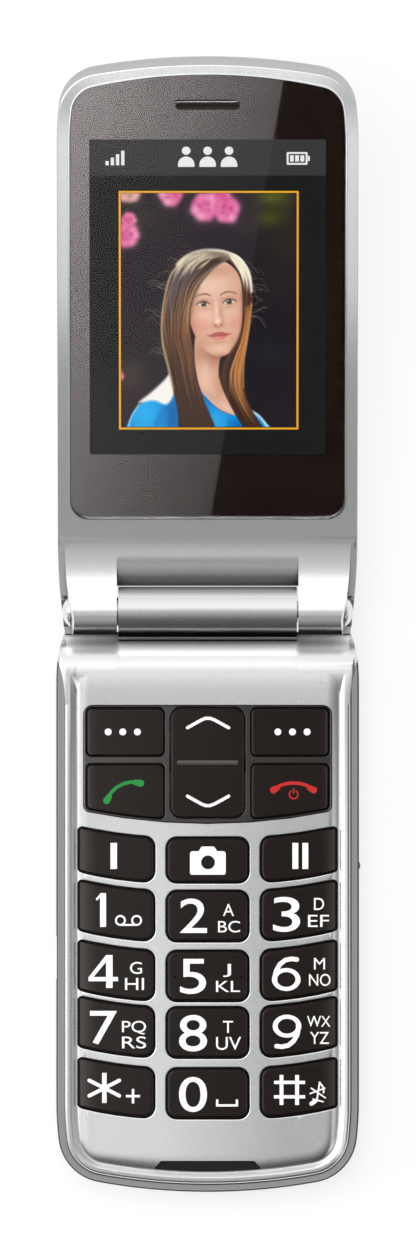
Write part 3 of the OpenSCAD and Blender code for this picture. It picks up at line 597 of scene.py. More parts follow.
def bowl_outline(x0, x1, low, top, r_low, r_top, grow):
    """Plan with straight sides whose lower edge bends up from the middle of the phone."""
    a, b, n = x0 - grow, x1 + grow, 6
    lower = [(a + (b - a) * i / n, low - grow + (a + (b - a) * i / n) ** 2 / (2 * nav_bend_r))
             for i in range(n + 1)]
    return rounded(lower + [(b, top + grow), (a, top + grow)],
                   [r_low] + [0] * (n - 1) + [r_low, r_top, r_top])


def nav_outline(grow):
    return bowl_outline(-nav_half, nav_half, nav_low, nav_high, 1.3, 1.8, grow)


def chin_outline(grow):
    lower = [(t / 6 * (9.85 + grow), -48.68 - grow - 0.47 * (1 - (t / 6) ** 2)) for t in range(-6, 7)]
    return rounded(lower + [(8.5 + grow, -47.31 + grow), (-8.5 - grow, -47.31 + grow)],
                   [0.15] + [0] * 11 + [0.15, 0.2, 0.2], 4)


def flare_outline(grow):
    """Plan of the region in front of the hinge where the cover widens over the trim."""
    centre_x = base_w / 2 - cover_inset + flare_r
    right = [(centre_x - (flare_r - grow) * math.cos(math.radians(a)),
              flare_y - grow + (flare_r - grow) * math.sin(math.radians(a))) for a in range(0, 31, 2)]
    return right + [(32, 70), (-32, 70)] + [(-x, y) for x, y in reversed(right)]


def end_roll(y, r):
    return [(-60, 0), (y, 0)] + arc(y - r, base_h - r, r, 0, 90, 24) + [(-60, base_h)]


cover = loft("front_cover", [(base_outline(i, end_y), z) for i, z in [
    (cover_inset, cover_low_z), (cover_inset, 10.02), (1.68, 10.16), (1.76, 10.3), (1.88, 10.41),
    (2.02, 10.47), (2.2, base_h)]])
flare = loft("flare", [(base_outline(i, end_y), z) for i, z in [
    (0, cover_low_z), (0, 8.5), (0.04, 8.9), (0.14, 9.3), (0.32, 9.66), (0.58, 9.98), (0.92, 10.24),
    (1.3, 10.41), (1.7, base_h)]])
carve(flare, [slab("flare_plan", flare_outline(0), 0, 12)], "INTERSECT")
carve(cover, [flare], "UNION")
roll = across("roll", end_roll(shoulder_y, shoulder_r), -30, 30)
carve(roll, [across("neck_roll", end_roll(neck_y, neck_r), -barrel_half, barrel_half)], "UNION")
carve(cover, [roll], "INTERSECT")
knuckle = across("knuckle", link_view((hinge_y, hinge_z, barrel_r), heel), -barrel_half, barrel_half)
carve(knuckle, [slab("below", box_outline(-30, 30, 30, 70, 0.1), -5, cover_low_z)])
carve(cover, [knuckle], "UNION")

cavity = loft("cavity", [(base_outline(2.95, 47.4), 4.6), (base_outline(2.95, 47.4), 9.25)])
cavity_view = [(-60, 0), (46.9, 0)] + arc(42.9, 5.25, 4, 0, 90, 10) + [(-60, 9.25)]
carve(cavity, [across("cavity_end", cavity_view, -30, 30)], "INTERSECT")
groove = loft("groove", [(base_outline(i, cut), z) for i, z, cut in [
    (3.66, 9.85, 38), (3.6, 9.86, 38.2), (3.52, 9.9, 38.6), (3.42, 9.99, 39), (2.86, 10.42, 41.6),
    (2.76, 10.475, 42), (2.6, 10.5, 42.4), (2.55, 10.8, 42.5)]])
plug = loft("plug", [(base_outline(i, 47), z) for i, z in [
    (3.74, 9.7), (3.77, 9.86), (3.84, 9.97), (3.96, 10.08), (4.14, 10.18), (4.4, 10.28), (4.72, 10.37),
    (5.1, 10.44), (5.5, 10.485), (6.0, 10.5), (6.04, 10.9)]])
carve(groove, [plug])
carve(cover, [cavity, groove])
lip = [(0.15, 8), (0.15, 10.16), (0.165, 10.26), (0.21, 10.36), (0.28, 10.43), (0.37, 10.48), (0.47, 10.5),
       (0.5, 11)]
carve(cover, [loft("key_hole", [(key_outline(c, r, g), z) for g, z in lip]) for c in range(3)
              for r in range(5)])
carve(cover, [slab("nav_hole", nav_outline(0.05), 8, 12), slab("chin_pocket", chin_outline(0.05), 9.4, 11.4),
              rod("sleeve_bore", 2.65, -barrel_half - 1, 1.5),
              rod("cartridge_bore", 3.05, 1.5, barrel_half + 1),
              across("cable_channel", [(51.5, 9.5), (48.4, 7.15), (45, 7.15), (45, 6.05), (48.7, 6.05),
                                       (53.2, 8.6)], -5.7, 0.7)])
posts = [pin("post", x, y, 1.9, 6.75, 9.3) for x, y in screw_places]
carve(cover, posts, "UNION")
carve(cover, [pin("screw_bore", x, y, 0.85, 6, 8.6) for x, y in screw_places])


def flake_lacquer():
    """Silver lacquer: tiny tilted flakes, a waviness of the coat, handling marks, and painted shade that
    darkens its colour in deep gaps.
    """
    group, given, place = new_group("silver_flakes", Tone="Color", Flake_size="Float", Flake_tilt="Float",
                                    Gloss="Float", Handling="Float")
    fineness = maths(group, "DIVIDE", 1.0, given["Flake size"])
    flakes = put(group, "TexVoronoi", Vector=place, Scale=fineness).outputs["Color"]
    level_of_flake = put(group, "RGBToBW", in0=flakes).outputs[0]
    flake_and_gap_shade = maths(group, "ADD", 0.97, maths(group, "MULTIPLY", level_of_flake, 0.06))
    # painted shade: ambient occlusion darkens the lacquer's colour in gaps and creases, where less light
    # falls
    openness = put(group, "AmbientOcclusion", set_samples=6, Distance=0.009).outputs["AO"]
    painted_gap_shade = remap(group, openness, 0.15, 0.72, 0.06, 1.0, "SMOOTHSTEP")
    flake_and_gap_shade = maths(group, "MULTIPLY", flake_and_gap_shade, painted_gap_shade)
    tone = scaled(group, given["Tone"], flake_and_gap_shade)
    marks = noise(group, place, 45.0, 5.0, 0.6)
    rough = swayed(group, given["Gloss"], marks, given["Handling"], clamp=True)
    centred = put(group, "VectorMath", set_operation="SUBTRACT", in0=flakes, in1=(0.5, 0.5, 0.5)).outputs[0]
    lean = scaled(group, centred, given["Flake tilt"])
    peel = noise(group, place, 900.0, 1.0)
    coat = bumped(group, peel, 0.06, 0.00002)
    leant = put(group, "VectorMath", set_operation="ADD", in0=coat, in1=lean).outputs[0]
    normal = put(group, "VectorMath", set_operation="NORMALIZE", in0=leant).outputs[0]
    return give_out(group, tone, rough, normal)


silver_flakes = flake_lacquer()


def lacquered(name, tone, gloss):
    return from_group(name, silver_flakes, dict(Tone=tone + (1,), Flake_size=0.09 * mm, Flake_tilt=0.05,
                                                Gloss=gloss, Handling=0.06), Metallic=1.0)


silver = lacquered("silver_lacquer", (0.80, 0.805, 0.81), 0.24)
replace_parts(settle(cover, "base", silver), "base_front_cover")


# ---- Trim ring ----
# A darker satin band round the base. Its sloped face lies between the tray and the rim
# of the front cover, and it ends in a point where the cover widens before the hinge.
trim = loft("trim_band", [(base_outline(i), z) for i, z in [
    (0.32, 5.65), (0.32, 7.3), (0.34, 7.48), (0.39, 7.66), (0.47, 7.84), (1.3, 9.3), (1.38, 9.41),
    (1.47, 9.48), (1.58, 9.5)]])
carve(trim, [slab("cover_side", base_outline(1.6, 52.8), 5, 11),
             slab("flare_side", flare_outline(0.05), 5, 11),
             slab("trim_end", box_outline(-30, 30, 45.9, 60, 0.1), 5, 11)])
trim_satin = lacquered("trim_satin", (0.27, 0.272, 0.278), 0.3)
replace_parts(settle(trim, "base", trim_satin), "base_trim_ring")


# ---- Chin bar ----
# A small black bar let into the rim groove at the chin, for a fingernail to open the lid.
bar = loft("chin_bar", [(chin_outline(g), z) for g, z in [
    (0, 9.42), (0, 9.78), (-0.03, 9.86), (-0.1, 9.91), (-0.14, 9.92)]])
insert_black = with_grain("insert_black", (0.009, 0.0085, 0.0083), 0.32, 0.2, 0.1, 0.15, 0.004,
                          Specular_IOR_Level=0.15)
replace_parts(settle(bar, "base", insert_black), "chin_insert")


# ---- Navigation plate ----
# A gloss black plate in the upper part of the keypad. It frames four keys and the rocker,
# and its lower edge follows the bend of the key rows.
key_fit = 0.15
nav_key_x, soft_y, call_y = (7.95, 22.25), (27.0, 35.85), (15.15, 25.55)
rocker_half, rocker_y = 6.85, (15.6, 36.0)


def soft_outline(side, grow):
    x0, x1 = sorted((side * nav_key_x[0], side * nav_key_x[1]))
    return box_outline(x0 - grow, x1 + grow, soft_y[0] - grow, soft_y[1] + grow, 1 + grow)


def call_outline(side, grow):
    x0, x1 = sorted((side * nav_key_x[0], side * nav_key_x[1]))
    return bowl_outline(x0, x1, call_y[0], call_y[1], 1, 1, grow)


def rocker_outline(grow):
    return box_outline(-rocker_half - grow, rocker_half + grow, rocker_y[0] - grow, rocker_y[1] + grow,
                       2.2 + grow, 10)


plate = loft("nav_plate", [(nav_outline(g), z) for g, z in [
    (0, 9.45), (0, 10.3), (-0.03, 10.4), (-0.1, 10.475), (-0.2, 10.51), (-0.3, 10.52)]])
hole_lip = [(key_fit, 8), (key_fit, 10.42), (key_fit + 0.02, 10.47), (key_fit + 0.06, 10.505),
            (key_fit + 0.12, 10.52), (key_fit + 0.13, 11)]
for side in (-1, 1):
    carve(plate, [loft("hole", [(soft_outline(side, g), z) for g, z in hole_lip]),
                  loft("hole", [(call_outline(side, g), z) for g, z in hole_lip])])
carve(plate, [loft("hole", [(rocker_outline(g), z) for g, z in hole_lip])])
bezel_black = with_grain("bezel_black", (0.0105, 0.0085, 0.008), 0.22, 0.12, 0.08, 0.3, 0.001,
                         Specular_IOR_Level=0.4)
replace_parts(settle(plate, "base", bezel_black), "nav_bezel")


# ---- Keypad mat ----
# A sheet of pale silicone rubber under the keys, with a soft boss below each plunger.
finish_node("keypad_mat", with_grain("silicone_mat", (0.42, 0.42, 0.41), 0.62, 0.1, 0.1, 0.2, 0.01))


# ---- Keys ----
# Twenty separate black keys with soft edges. The outer ones roll down at the sides of the
# phone, and each stands on a lip that holds it under the cover and on a short plunger.
key_top, crown_r, crown_x = 10.8, 14.0, 20.0
key_lip, key_plunger = (8.55, 9.16), (8.15, 8.56)
key_soft = [(0, 9.15), (0, 10.36), (-0.02, 10.46), (-0.07, 10.57), (-0.15, 10.67), (-0.26, 10.75),
            (-0.4, 10.79), (-0.56, 10.8)]


def side_drop(x, y):
    """How far the key tops have rolled down at a place near the sides."""
    past = max(abs(x) - crown_x, 0)
    return crown_r - math.sqrt(crown_r ** 2 - past ** 2)


def slice_up(piece, axis, places):
    """Cuts a mesh at planes across an axis, so that it can follow a curve."""
    shape = bmesh.new()
    shape.from_mesh(piece.data)
    for place in places:
        at, across_axis = [0, 0, 0], [0, 0, 0]
        at[axis], across_axis[axis] = place * mm, 1
        everything = shape.verts[:] + shape.edges[:] + shape.faces[:]
        bmesh.ops.bisect_plane(shape, geom=everything, plane_co=at, plane_no=across_axis, dist=1e-8)
    shape.to_mesh(piece.data)
    shape.free()


def sink(piece, drop, above):
    """Lowers everything above a height by the drop at its place."""
    for corner in piece.data.vertices:
        x, y, z = corner.co / mm
        if z > above:
            corner.co.z = (z - drop(x, y)) * mm


def key_cap(name, outline):
    cap = loft(name, [(outline(g), z) for g, z in key_soft])
    slice_up(cap, 0, [s * (crown_x + 0.25 * i) for s in (-1, 1) for i in range(16)])
    sink(cap, side_drop, 9.5)
    points = outline(0)
    x, y = sum(p[0] for p in points) / len(points), sum(p[1] for p in points) / len(points)
    return carve(cap, [slab("lip", outline(0.3), *key_lip), pin("plunger", x, y, 1.1, *key_plunger)],
                 "UNION")


key_black = with_grain("key_black", (0.0045, 0.0024, 0.0018), 0.3, 0.12, 0.1, 0.2, 0.002,
                       Specular_IOR_Level=0.12)
key_caps = []
grid_keys = ["memory_key_1", "camera_key", "memory_key_2", "key_1", "key_2", "key_3", "key_4", "key_5",
             "key_6", "key_7", "key_8", "key_9", "key_star", "key_0", "key_hash"]
plans = {name: (key_outline, i % 3, i // 3) for i, name in enumerate(grid_keys)}
plans |= {"soft_key_left": (soft_outline, -1), "soft_key_right": (soft_outline, 1),
          "call_key": (call_outline, -1), "end_key": (call_outline, 1)}
for name, (outline, *where) in plans.items():
    cap = key_cap(name + "_cap", lambda grow: outline(*where, grow))
    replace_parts(settle(cap, body_of_node(name), key_black), name)
    key_caps.append(cap)


# ---- Navigation rocker ----
# One tall key that tips up or down about a rib under its middle, with a raised bar there.
rocker_middle = (rocker_y[0] + rocker_y[1]) / 2
rocker_bend_r = 160.0


def rocker_drop(x, y):
    return rocker_bend_r - math.sqrt(rocker_bend_r ** 2 - (y - rocker_middle) ** 2)


rocker = loft("rocker_cap", [(rocker_outline(g), z) for g, z in key_soft])
slice_up(rocker, 1, [rocker_middle + 0.5 * i for i in range(-20, 21)])
sink(rocker, rocker_drop, 9.5)
ridge = across("rocker_bar", [(rocker_middle - 0.48, 10.5)] + arc(rocker_middle, 10.31, 0.64, 130, 50, 12)
               + [(rocker_middle + 0.48, 10.5)], -5.6, 5.6)
carve(ridge, [slab("bar_plan", box_outline(-5.6, 5.6, rocker_middle - 0.45, rocker_middle + 0.45, 0.4), 10.4,
                   11)], "INTERSECT")
settle(ridge, "rocker", with_grain("bar_satin", (0.05, 0.048, 0.046), 0.4, 0.1, 0.1, 0.1, 0.003))
carve(rocker, [slab("lip", box_outline(-6.65, 6.65, 16, 35.6, 2), *key_lip),
               slab("rib", box_outline(-7.15, 7.15, rocker_middle - 1.6, rocker_middle + 1.6, 0.4), 8.55,
                    9.1)]
      + [pin("plunger", 0, y, 1.1, *key_plunger) for y in (18.8, 32.8)], "UNION")
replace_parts(settle(rocker, "rocker", key_black), "nav_rocker")


# ---- Key legends ----
# White, green and red prints on the keys, about 0.02 mm thick: digits and letters in a
# plain type, and drawn signs. Each lies on its key's top and moves with it.
def glyphs(words, box, bold):
    """Characters of the built-in type as a thin solid, fitted into (x0, y0, x1, y1)."""
    letters = bpy.data.curves.new("glyphs", "FONT")
    letters.body, letters.size, letters.extrude = words, 1.0, 0.01
    letters.offset, letters.resolution_u = bold, 8
    holder = bpy.data.objects.new("glyphs", letters)
    scene.collection.objects.link(holder)
    bpy.context.view_layer.update()
    flat = bpy.data.meshes.new_from_object(holder.evaluated_get(bpy.context.evaluated_depsgraph_get()))
    bpy.data.objects.remove(holder)
    low = [min(v.co[i] for v in flat.vertices) for i in range(2)]
    high = [max(v.co[i] for v in flat.vertices) for i in range(2)]
    for corner in flat.vertices:
        for i in range(2):
            share = (corner.co[i] - low[i]) / (high[i] - low[i])
            corner.co[i] = (box[i] + (box[i + 2] - box[i]) * share) * mm
        corner.co.z = mm if corner.co.z > 0 else 0
    piece = bpy.data.objects.new("glyphs", flat)
    scene.collection.objects.link(piece)
    return piece


def stroke(points, width, end=None):
    """A line drawn with a round pen as a thin solid; the pen's width can change to its end."""
    left, right = [], []
    for i, (x, y) in enumerate(points):
        half = (width + ((end or width) - width) * i / (len(points) - 1)) / 2
        (ax, ay), (bx, by) = points[max(i - 1, 0)], points[min(i + 1, len(points) - 1)]
        heading = math.atan2(by - ay, bx - ax)
        nx, ny = -math.sin(heading) * half, math.cos(heading) * half
        turn = math.degrees(heading)
        if i == 0:
            left += arc(x, y, half, turn + 180, turn + 90, 8)
            right += arc(x, y, half, turn + 180, turn + 270, 8, 1)
        elif i == len(points) - 1:
            left += arc(x, y, half, turn + 90, turn, 8)
            right += arc(x, y, half, turn - 90, turn, 7)[:-1]
        else:
            left.append((x + nx, y + ny))
            right.append((x - nx, y - ny))
    return slab("line", left + right[::-1], 0, 1)


def ring(x, y, r, width, stretch=1.0):
    """A round or oval ring as a thin solid."""
    outer, hole = [[(x + (px - x), y + (py - y) * stretch) for px, py in circle(x, y, r + t, 60)]
                   for t in (0, -width)]
    return carve(slab("ring", outer, 0, 1), [slab("hole", hole, -1, 2)])


def bars(*boxes):
    """Rectangles (x0, y0, x1, y1) with hardly rounded corners, joined into one thin solid."""
    pieces = [slab("bar", box_outline(x0, x1, y0, y1, 0.03, 3), 0, 1) for x0, y0, x1, y1 in boxes]
    return carve(pieces[0], pieces[1:], "UNION") if len(pieces) > 1 else pieces[0]


print_t = 0.02


def print_on(node, pieces, ink, drop=side_drop):
    """Joins the prints of one key, lays them on its top and lets them ride on its body."""
    joined = bmesh.new()
    for piece in pieces:
        joined.from_mesh(piece.data)
        bpy.data.objects.remove(piece)
    bmesh.ops.remove_doubles(joined, verts=joined.verts, dist=1e-8)
    mesh = bpy.data.meshes.new(node + "_print")
    joined.to_mesh(mesh)
    joined.free()
    piece = bpy.data.objects.new(node + "_print", mesh)
    scene.collection.objects.link(piece)
    slice_up(piece, 0, [s * (crown_x + 0.3 * i) for s in (-1, 1) for i in range(9)])
    if drop is rocker_drop:
        slice_up(piece, 1, [rocker_middle + i for i in range(-9, 10)])
    for corner in mesh.vertices:
        x, y = corner.co.x / mm, corner.co.y / mm
        corner.co.z = (key_top - drop(x, y) + (print_t if corner.co.z > 0.5 * mm else -print_t)) * mm
    return settle(piece, body_of_node(node), ink)


def print_ink(name, tone):
    return with_grain(name, tone, 0.45, 0.04, 0.1, 0.05, 0.001)


white_ink = print_ink("white_print", (0.8, 0.8, 0.79))
green_ink = print_ink("green_print", (0.002, 0.2, 0.027))
red_ink = print_ink("red_print", (0.42, 0.002, 0.003))
digit_bold = 0.003
legends = {
    "key_2": [("2", (-5.06, -5.44, -0.11, 0.86)), ("A", (2.82, -2.33, 4.84, -0.13)),
              ("BC", (1.91, -5.35, 5.94, -3.24))],
    "key_3": [("3", (11.99, -5.26, 16.95, 1.16)), ("D", (19.51, -1.23, 21.35, 0.97)),
              ("EF", (18.41, -4.34, 22.26, -2.14))], "key_4": [("G", (-14.23, -12.96, -12.03, -10.76)),
              ("HI", (-15.15, -15.9, -11.66, -13.7))],
    "key_5": [("5", (-5.06, -16.63, -0.29, -10.21)), ("J", (2.82, -13.51, 4.29, -11.13)),
              ("KL", (1.54, -16.26, 5.94, -14.25))],
    "key_6": [("M", (19.51, -12.14, 21.53, -10.03)), ("NO", (18.6, -15.16, 22.54, -12.96))],
    "key_7": [("7", (-21.57, -25.89, -16.62, -19.75)), ("PQ", (-15.7, -24.06, -11.3, -21.58)),
              ("RS", (-15.7, -26.63, -11.3, -24.43))],
    "key_8": [("8", (-5.25, -27.18, -0.11, -20.48)), ("T", (2.82, -23.78, 4.66, -21.58)),
              ("UV", (1.54, -26.9, 6.13, -24.52))],
    "key_9": [("WX", (18.23, -22.68, 22.54, -20.67)), ("YZ", (18.78, -25.8, 22.26, -23.6))],
    "key_0": [("0", (-5.25, -38.27, -0.11, -31.85))]}
signs = {node: [glyphs(words, box, digit_bold if words.isdigit() else 0.0) for words, box in entries]
         for node, entries in legends.items()}
signs["key_4"] += [carve(bars((-18.62, -15.53, -17.42, -9.5), (-21.85, -14.3, -16.43, -13.52)),
                         [slab("slope", [(-18.62, -9.5), (-17.6, -9.5), (-20.95, -13.55), (-21.85, -14.2),
                                         (-21.85, -13.6)], 0, 1)], "UNION")]
six = [(16.35, -10.32), (15.3, -10.2), (14.2, -10.45), (13.25, -11.2), (12.6, -12.35), (12.35, -13.5),
       (12.33, -14.2)]
signs["key_6"] += [carve(ring(14.42, -13.98, 2.62, 0.92, 0.8), [stroke(six, 0.82, 0.9)], "UNION")]
nine = [(28.98 - x, -36.52 - y) for x, y in six]
signs["key_9"] += [carve(ring(14.56, -22.54, 2.62, 0.92, 0.8), [stroke(nine, 0.82, 0.9)], "UNION")]
signs["key_0"] += [bars((1.54, -37.28, 1.96, -35.98), (1.54, -37.28, 5.58, -36.86),
                        (5.16, -37.28, 5.58, -35.98))]
signs["key_1"] = [carve(bars((-19.72, -4.34, -18.63, 1.85)),
                        [stroke([(-20.3, 0.75), (-19.5, 1.62)], 0.4, 0.5)], "UNION"),
                  carve(ring(-16.0, -3.15, 0.99, 0.34), [ring(-13.02, -3.15, 0.99, 0.34),
                                                         bars((-16.0, -4.14, -13.02, -3.8))], "UNION")]
signs["memory_key_1"] = [bars((-17.81, 6.29, -16.62, 11.06))]
signs["memory_key_2"] = [bars((15.55, 6.29, 16.63, 11.06)), bars((17.37, 6.29, 18.45, 11.06))]
camera_sign = slab("camera_sign", rounded(
    [(-3.23, 5.23), (3.32, 5.23), (3.32, 9.55), (1.75, 9.55), (1.2, 10.4), (-1.1, 10.4), (-1.65, 9.55),
     (-3.23, 9.55)], [0.4, 0.4, 0.5, 0.05, 0.35, 0.35, 0.05, 0.5]), 0, 1)
signs["camera_key"] = [carve(camera_sign, [pin("lens_hole", 0.07, 7.5, 1.27, -1, 2, 48)])]
signs["key_star"] = [carve(bars((-19.35, -36.62, -18.52, -31.12)),
                           [stroke([(-21.7, -35.3), (-16.2, -32.5)], 0.66),
                            stroke([(-21.7, -32.5), (-16.2, -35.3)], 0.66)], "UNION"),
                     bars((-14.97, -35.6, -12.4, -35.16), (-13.9, -36.71, -13.46, -34.05))]
signs["key_hash"] = [bars((13.2, -36.99, 13.9, -31.49), (16.05, -36.99, 16.75, -31.49),
                          (12.18, -33.15, 17.86, -32.55), (12.18, -35.8, 17.86, -35.2)),
                     carve(stroke([(19.05, -36.75), (19.65, -36.35)], 0.75),
                           [stroke([(20.0, -36.3), (20.55, -32.85)], 0.3),
                            stroke([(20.55, -32.85), (21.3, -33.9), (21.25, -34.7)], 0.32),
                            stroke([(19.0, -33.9), (21.6, -35.7)], 0.26),
                            stroke([(18.8, -34.9), (21.5, -33.9)], 0.26),
                            stroke([(19.3, -35.9), (21.2, -36.4)], 0.26)], "UNION")]
for node, pieces in signs.items():
    print_on(node, pieces, white_ink)
for node, side in (("soft_key_left", -1), ("soft_key_right", 1)):
    print_on(node, [pin("dot", side * 15.56 + i * 2.68, 31.42, 0.63, 0, 1, 32) for i in (-1, 0, 1)],
             white_ink)
for name, points in [("up", [(-3.69, 32.19), (-1.12, 33.62), (-0.35, 33.92), (0.45, 33.92), (1.27, 33.62),
                             (3.85, 32.19)]),
                     ("down", [(-3.69, 19.63), (-1.12, 18.2), (-0.35, 17.9), (0.45, 17.9), (1.27, 18.2),
                               (3.85, 19.63)])]:
    signs[name] = stroke(points, 0.58)
print_on("nav_rocker", [signs["up"], signs["down"]], white_ink, rocker_drop)
handset = carve(stroke([(-18.45, 18.95), (-17.7, 20.3), (-16.7, 21.25), (-15.5, 21.9), (-14.1, 22.25),
                        (-12.35, 22.1)], 0.62), [stroke([(-18.5, 18.85), (-18.05, 19.6)], 1.3, 1.0),
                 stroke([(-13.2, 22.15), (-12.3, 22.0)], 1.0, 1.3)], "UNION")
print_on("call_key", [handset], green_ink)
handset = carve(stroke([(12.1, 20.8), (13.3, 21.6), (14.5, 21.95), (15.75, 22.05), (17.0, 21.95),
                        (18.2, 21.6), (19.4, 20.8)], 0.62),
                [stroke([(12.05, 20.75), (12.8, 21.15)], 1.25, 1.0),
                 stroke([(19.45, 20.75), (18.7, 21.15)], 1.25, 1.0)], "UNION")
power = carve(stroke(arc(15.78, 19.95, 0.78, 125, 415, 20), 0.24),
              [stroke([(15.78, 20.2), (15.78, 21.05)], 0.24)], "UNION")
print_on("end_key", [handset, power], red_ink)
for x in (-6.02, 6.05):
    rings = [(circle(x, -13.51, r, 24), z) for r, z in [
        (0.28, 10.78), (0.28, 10.83), (0.24, 10.9), (0.15, 10.95), (0.05, 10.965)]]
    settle(loft("locating_dot", rings), body_of_node("key_5"), key_black)


# ---- Lid inner cover ----
# The silver frame round the window. Two arms with knuckles reach round the hinge barrel,
# and the face sweeps up to them in hollow ramps. It is drawn lying flat, then turned up.
lid_w, lid_len, lid_back, lid_face, lid_split = 55.0, 103.85, -8.9, -0.2, -4.4
knuckle_r, arm_x = 4.3, barrel_half + 0.3
opening_tilt = 17.0
lid_frame = (Matrix.Translation(Vector((0, hinge_y, hinge_z)) * mm)
             @ Matrix.Rotation(math.radians(opening_tilt), 4, "X"))
window_half, window_near, window_far = 25.1, 17.6, 102.0
lcd_y, lcd_x, lcd_h = 59.5, 23.25, 32.45
ear_y = 96.05


def raised(piece):
    piece.data.transform(lid_frame)
    return piece


def lid_outline(inset, cut=-knuckle_r - 0.1):
    return half_shell(lid_w, lid_len, 8, 118, 13.8, 130, cut, inset)


def window_outline(grow):
    near = window_near - grow
    side = [p for p in half_shell(2 * window_half, window_far, 5, 94, 13.8, 900, window_near, -grow, 2)
            if p[1] > window_near + 8]
    x = window_half + grow
    return rounded([(-x, near + 6), (-x, near), (x, near), (x, near + 6)], [0, 3.5 + grow, 3.5 + grow, 0],
                   12) + side


def ear_outline(half, reach, r):
    return box_outline(-half, half, ear_y - reach, ear_y + reach, r)


def lcd_outline(grow, r):
    return box_outline(-lcd_x - grow, lcd_x + grow, lcd_y - lcd_h - grow, lcd_y + lcd_h + grow, r)


ramp_r, rise_a, roll_r, lid_end = 21.0, 9.3, 9.85, 4.05
ramp_y = math.sqrt((ramp_r + knuckle_r) ** 2 - (ramp_r + lid_face) ** 2)
ramp_z = ramp_r + lid_face
roll_y = ramp_y - (ramp_r + roll_r) * math.sin(math.radians(rise_a))
roll_z = ramp_z - (ramp_r + roll_r) * math.cos(math.radians(rise_a))


def lid_side():
    """Side view of the lid: a rolled-off middle and an arm with a knuckle on each side."""
    end_a = math.degrees(math.acos((lid_end - roll_y) / roll_r))
    middle = ([(109, lid_back), (109, lid_face)] + arc(ramp_y, ramp_z, ramp_r, -90, -90 - rise_a, 10)
              + arc(roll_y, roll_z, roll_r, 90 - rise_a, end_a, 32, 1)
              + arc(lid_end + 2.3, lid_back + 2.3, 2.3, 180, 270, 14))
    body = across("lid_side", middle, -arm_x, arm_x)
    top_a = math.degrees(math.asin(ramp_y / (ramp_r + knuckle_r)))
    reach = 0.995 * knuckle_r / math.hypot(ramp_y, ramp_z)
    sweep = ([(0, 0), (ramp_y * reach, ramp_z * reach)]
             + arc(ramp_y, ramp_z, ramp_r, -90 - top_a, -90, 32, 1)
             + [(ramp_y, -5), (0, -5)])
    plain = [(5.5, lid_back), (109, lid_back), (109, lid_face), (5.5, lid_face)]
    for x0, x1 in ((-30, -arm_x), (arm_x, 30)):
        carve(body, [across("arm", view, x0, x1) for view in (
            link_view((0, 0, knuckle_r), (5.5, lid_back + 3, 3)), plain, sweep)], "UNION")
    return body


inner = loft("lid_frame_cover", [(lid_outline(i), z) for i, z in [
    (0, lid_split), (0, -0.46), (0.01, -0.4), (0.04, -0.34), (0.08, -0.29), (0.16, -0.23),
    (0.22, lid_face + 0.004),
    (1.25, lid_face + 0.04), (1.34, 0.3), (1.4, 1), (1.48, 1.7), (1.6, 2.4), (1.74, 3), (1.9, 3.6),
    (2.08, 4), (2.3, 4.4)]])
carve(inner, [lid_side()], "INTERSECT")


def barrel_gap():
    return rod("barrel_gap", barrel_r + 0.3, -arm_x, arm_x, 0, 0)


hinge_seats = [rod("sleeve_seat", 2.66, -23.6, -barrel_half, 0, 0),
               rod("cam_seat", 3.0, barrel_half, 22.4, 0, 0),
               rod("cap_seat", 2.95, -28, -24.1, 0, 0), rod("cap_seat", 2.95, 24.1, 28, 0, 0)]
lip_plans = [([(x, max(y, window_near - 0.03)) for x, y in window_outline(g)], z) for g, z in [
    (0.5, -0.6), (0.5, -0.23), (0.15, -0.09), (0.1, -0.075), (0.05, -0.07)]]
carve(inner, [loft("window_lip", lip_plans)], "UNION")
carve(inner, [slab("cavity", lid_outline(1.4, 13), lid_split - 1, -2.35),
              slab("window_seat", window_outline(0.06), -1.35, 1),
              slab("lcd_hole", lcd_outline(0.25, 1), -3.4, 0),
              slab("ear_hole", ear_outline(5, 0.9, 0.8), -3.4, 0), barrel_gap()]
      + hinge_seats)
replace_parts(settle(raised(inner), "lid", silver), "lid_inner_cover")


# ---- Parts inside the lid ----
# An aluminium frame holds the display module. The board, the earpiece behind its black
# mesh, the camera with its round glass and the magnet of the lid sensor sit round it.
def mesh_finish():
    material, tree, place = new_material("earpiece_mesh")
    holes = put(tree, "TexVoronoi", Vector=place, Scale=3600.0, Randomness=0.0).outputs[0]
    wires = remap(tree, holes, 0.3, 0.45, 0.0, 1.0)
    tone = two_tones(tree, wires, (0.002, 0.0015, 0.0014), (0.02, 0.014, 0.012))
    relief = bumped(tree, wires, 0.6, 0.00003)
    return skinned(material, Base_Color=tone, Roughness=0.6, Specular_IOR_Level=0.2, Normal=relief)


finish_node("lcd_frame", rolled("frame_aluminium", (0.72, 0.72, 0.73), 0.3))
finish_node("lcd_module", with_grain("display_edge", (0.012, 0.012, 0.013), 0.3, 0.1, 0.1, 0.3, 0.002))
finish_node("lid_board", board_lacquer)
finish_node("earpiece", speaker_black)
finish_node("earpiece_mesh", mesh_finish())
finish_node("camera_module", speaker_black)
finish_node("camera_window", with_grain("camera_glass", (0.008, 0.009, 0.012), 0.06, 0.1, 0.04, 0.5, 0.0005,
                                        Coat_Weight=1.0, Coat_Roughness=0.03))
finish_node("lid_magnet", spring_steel)


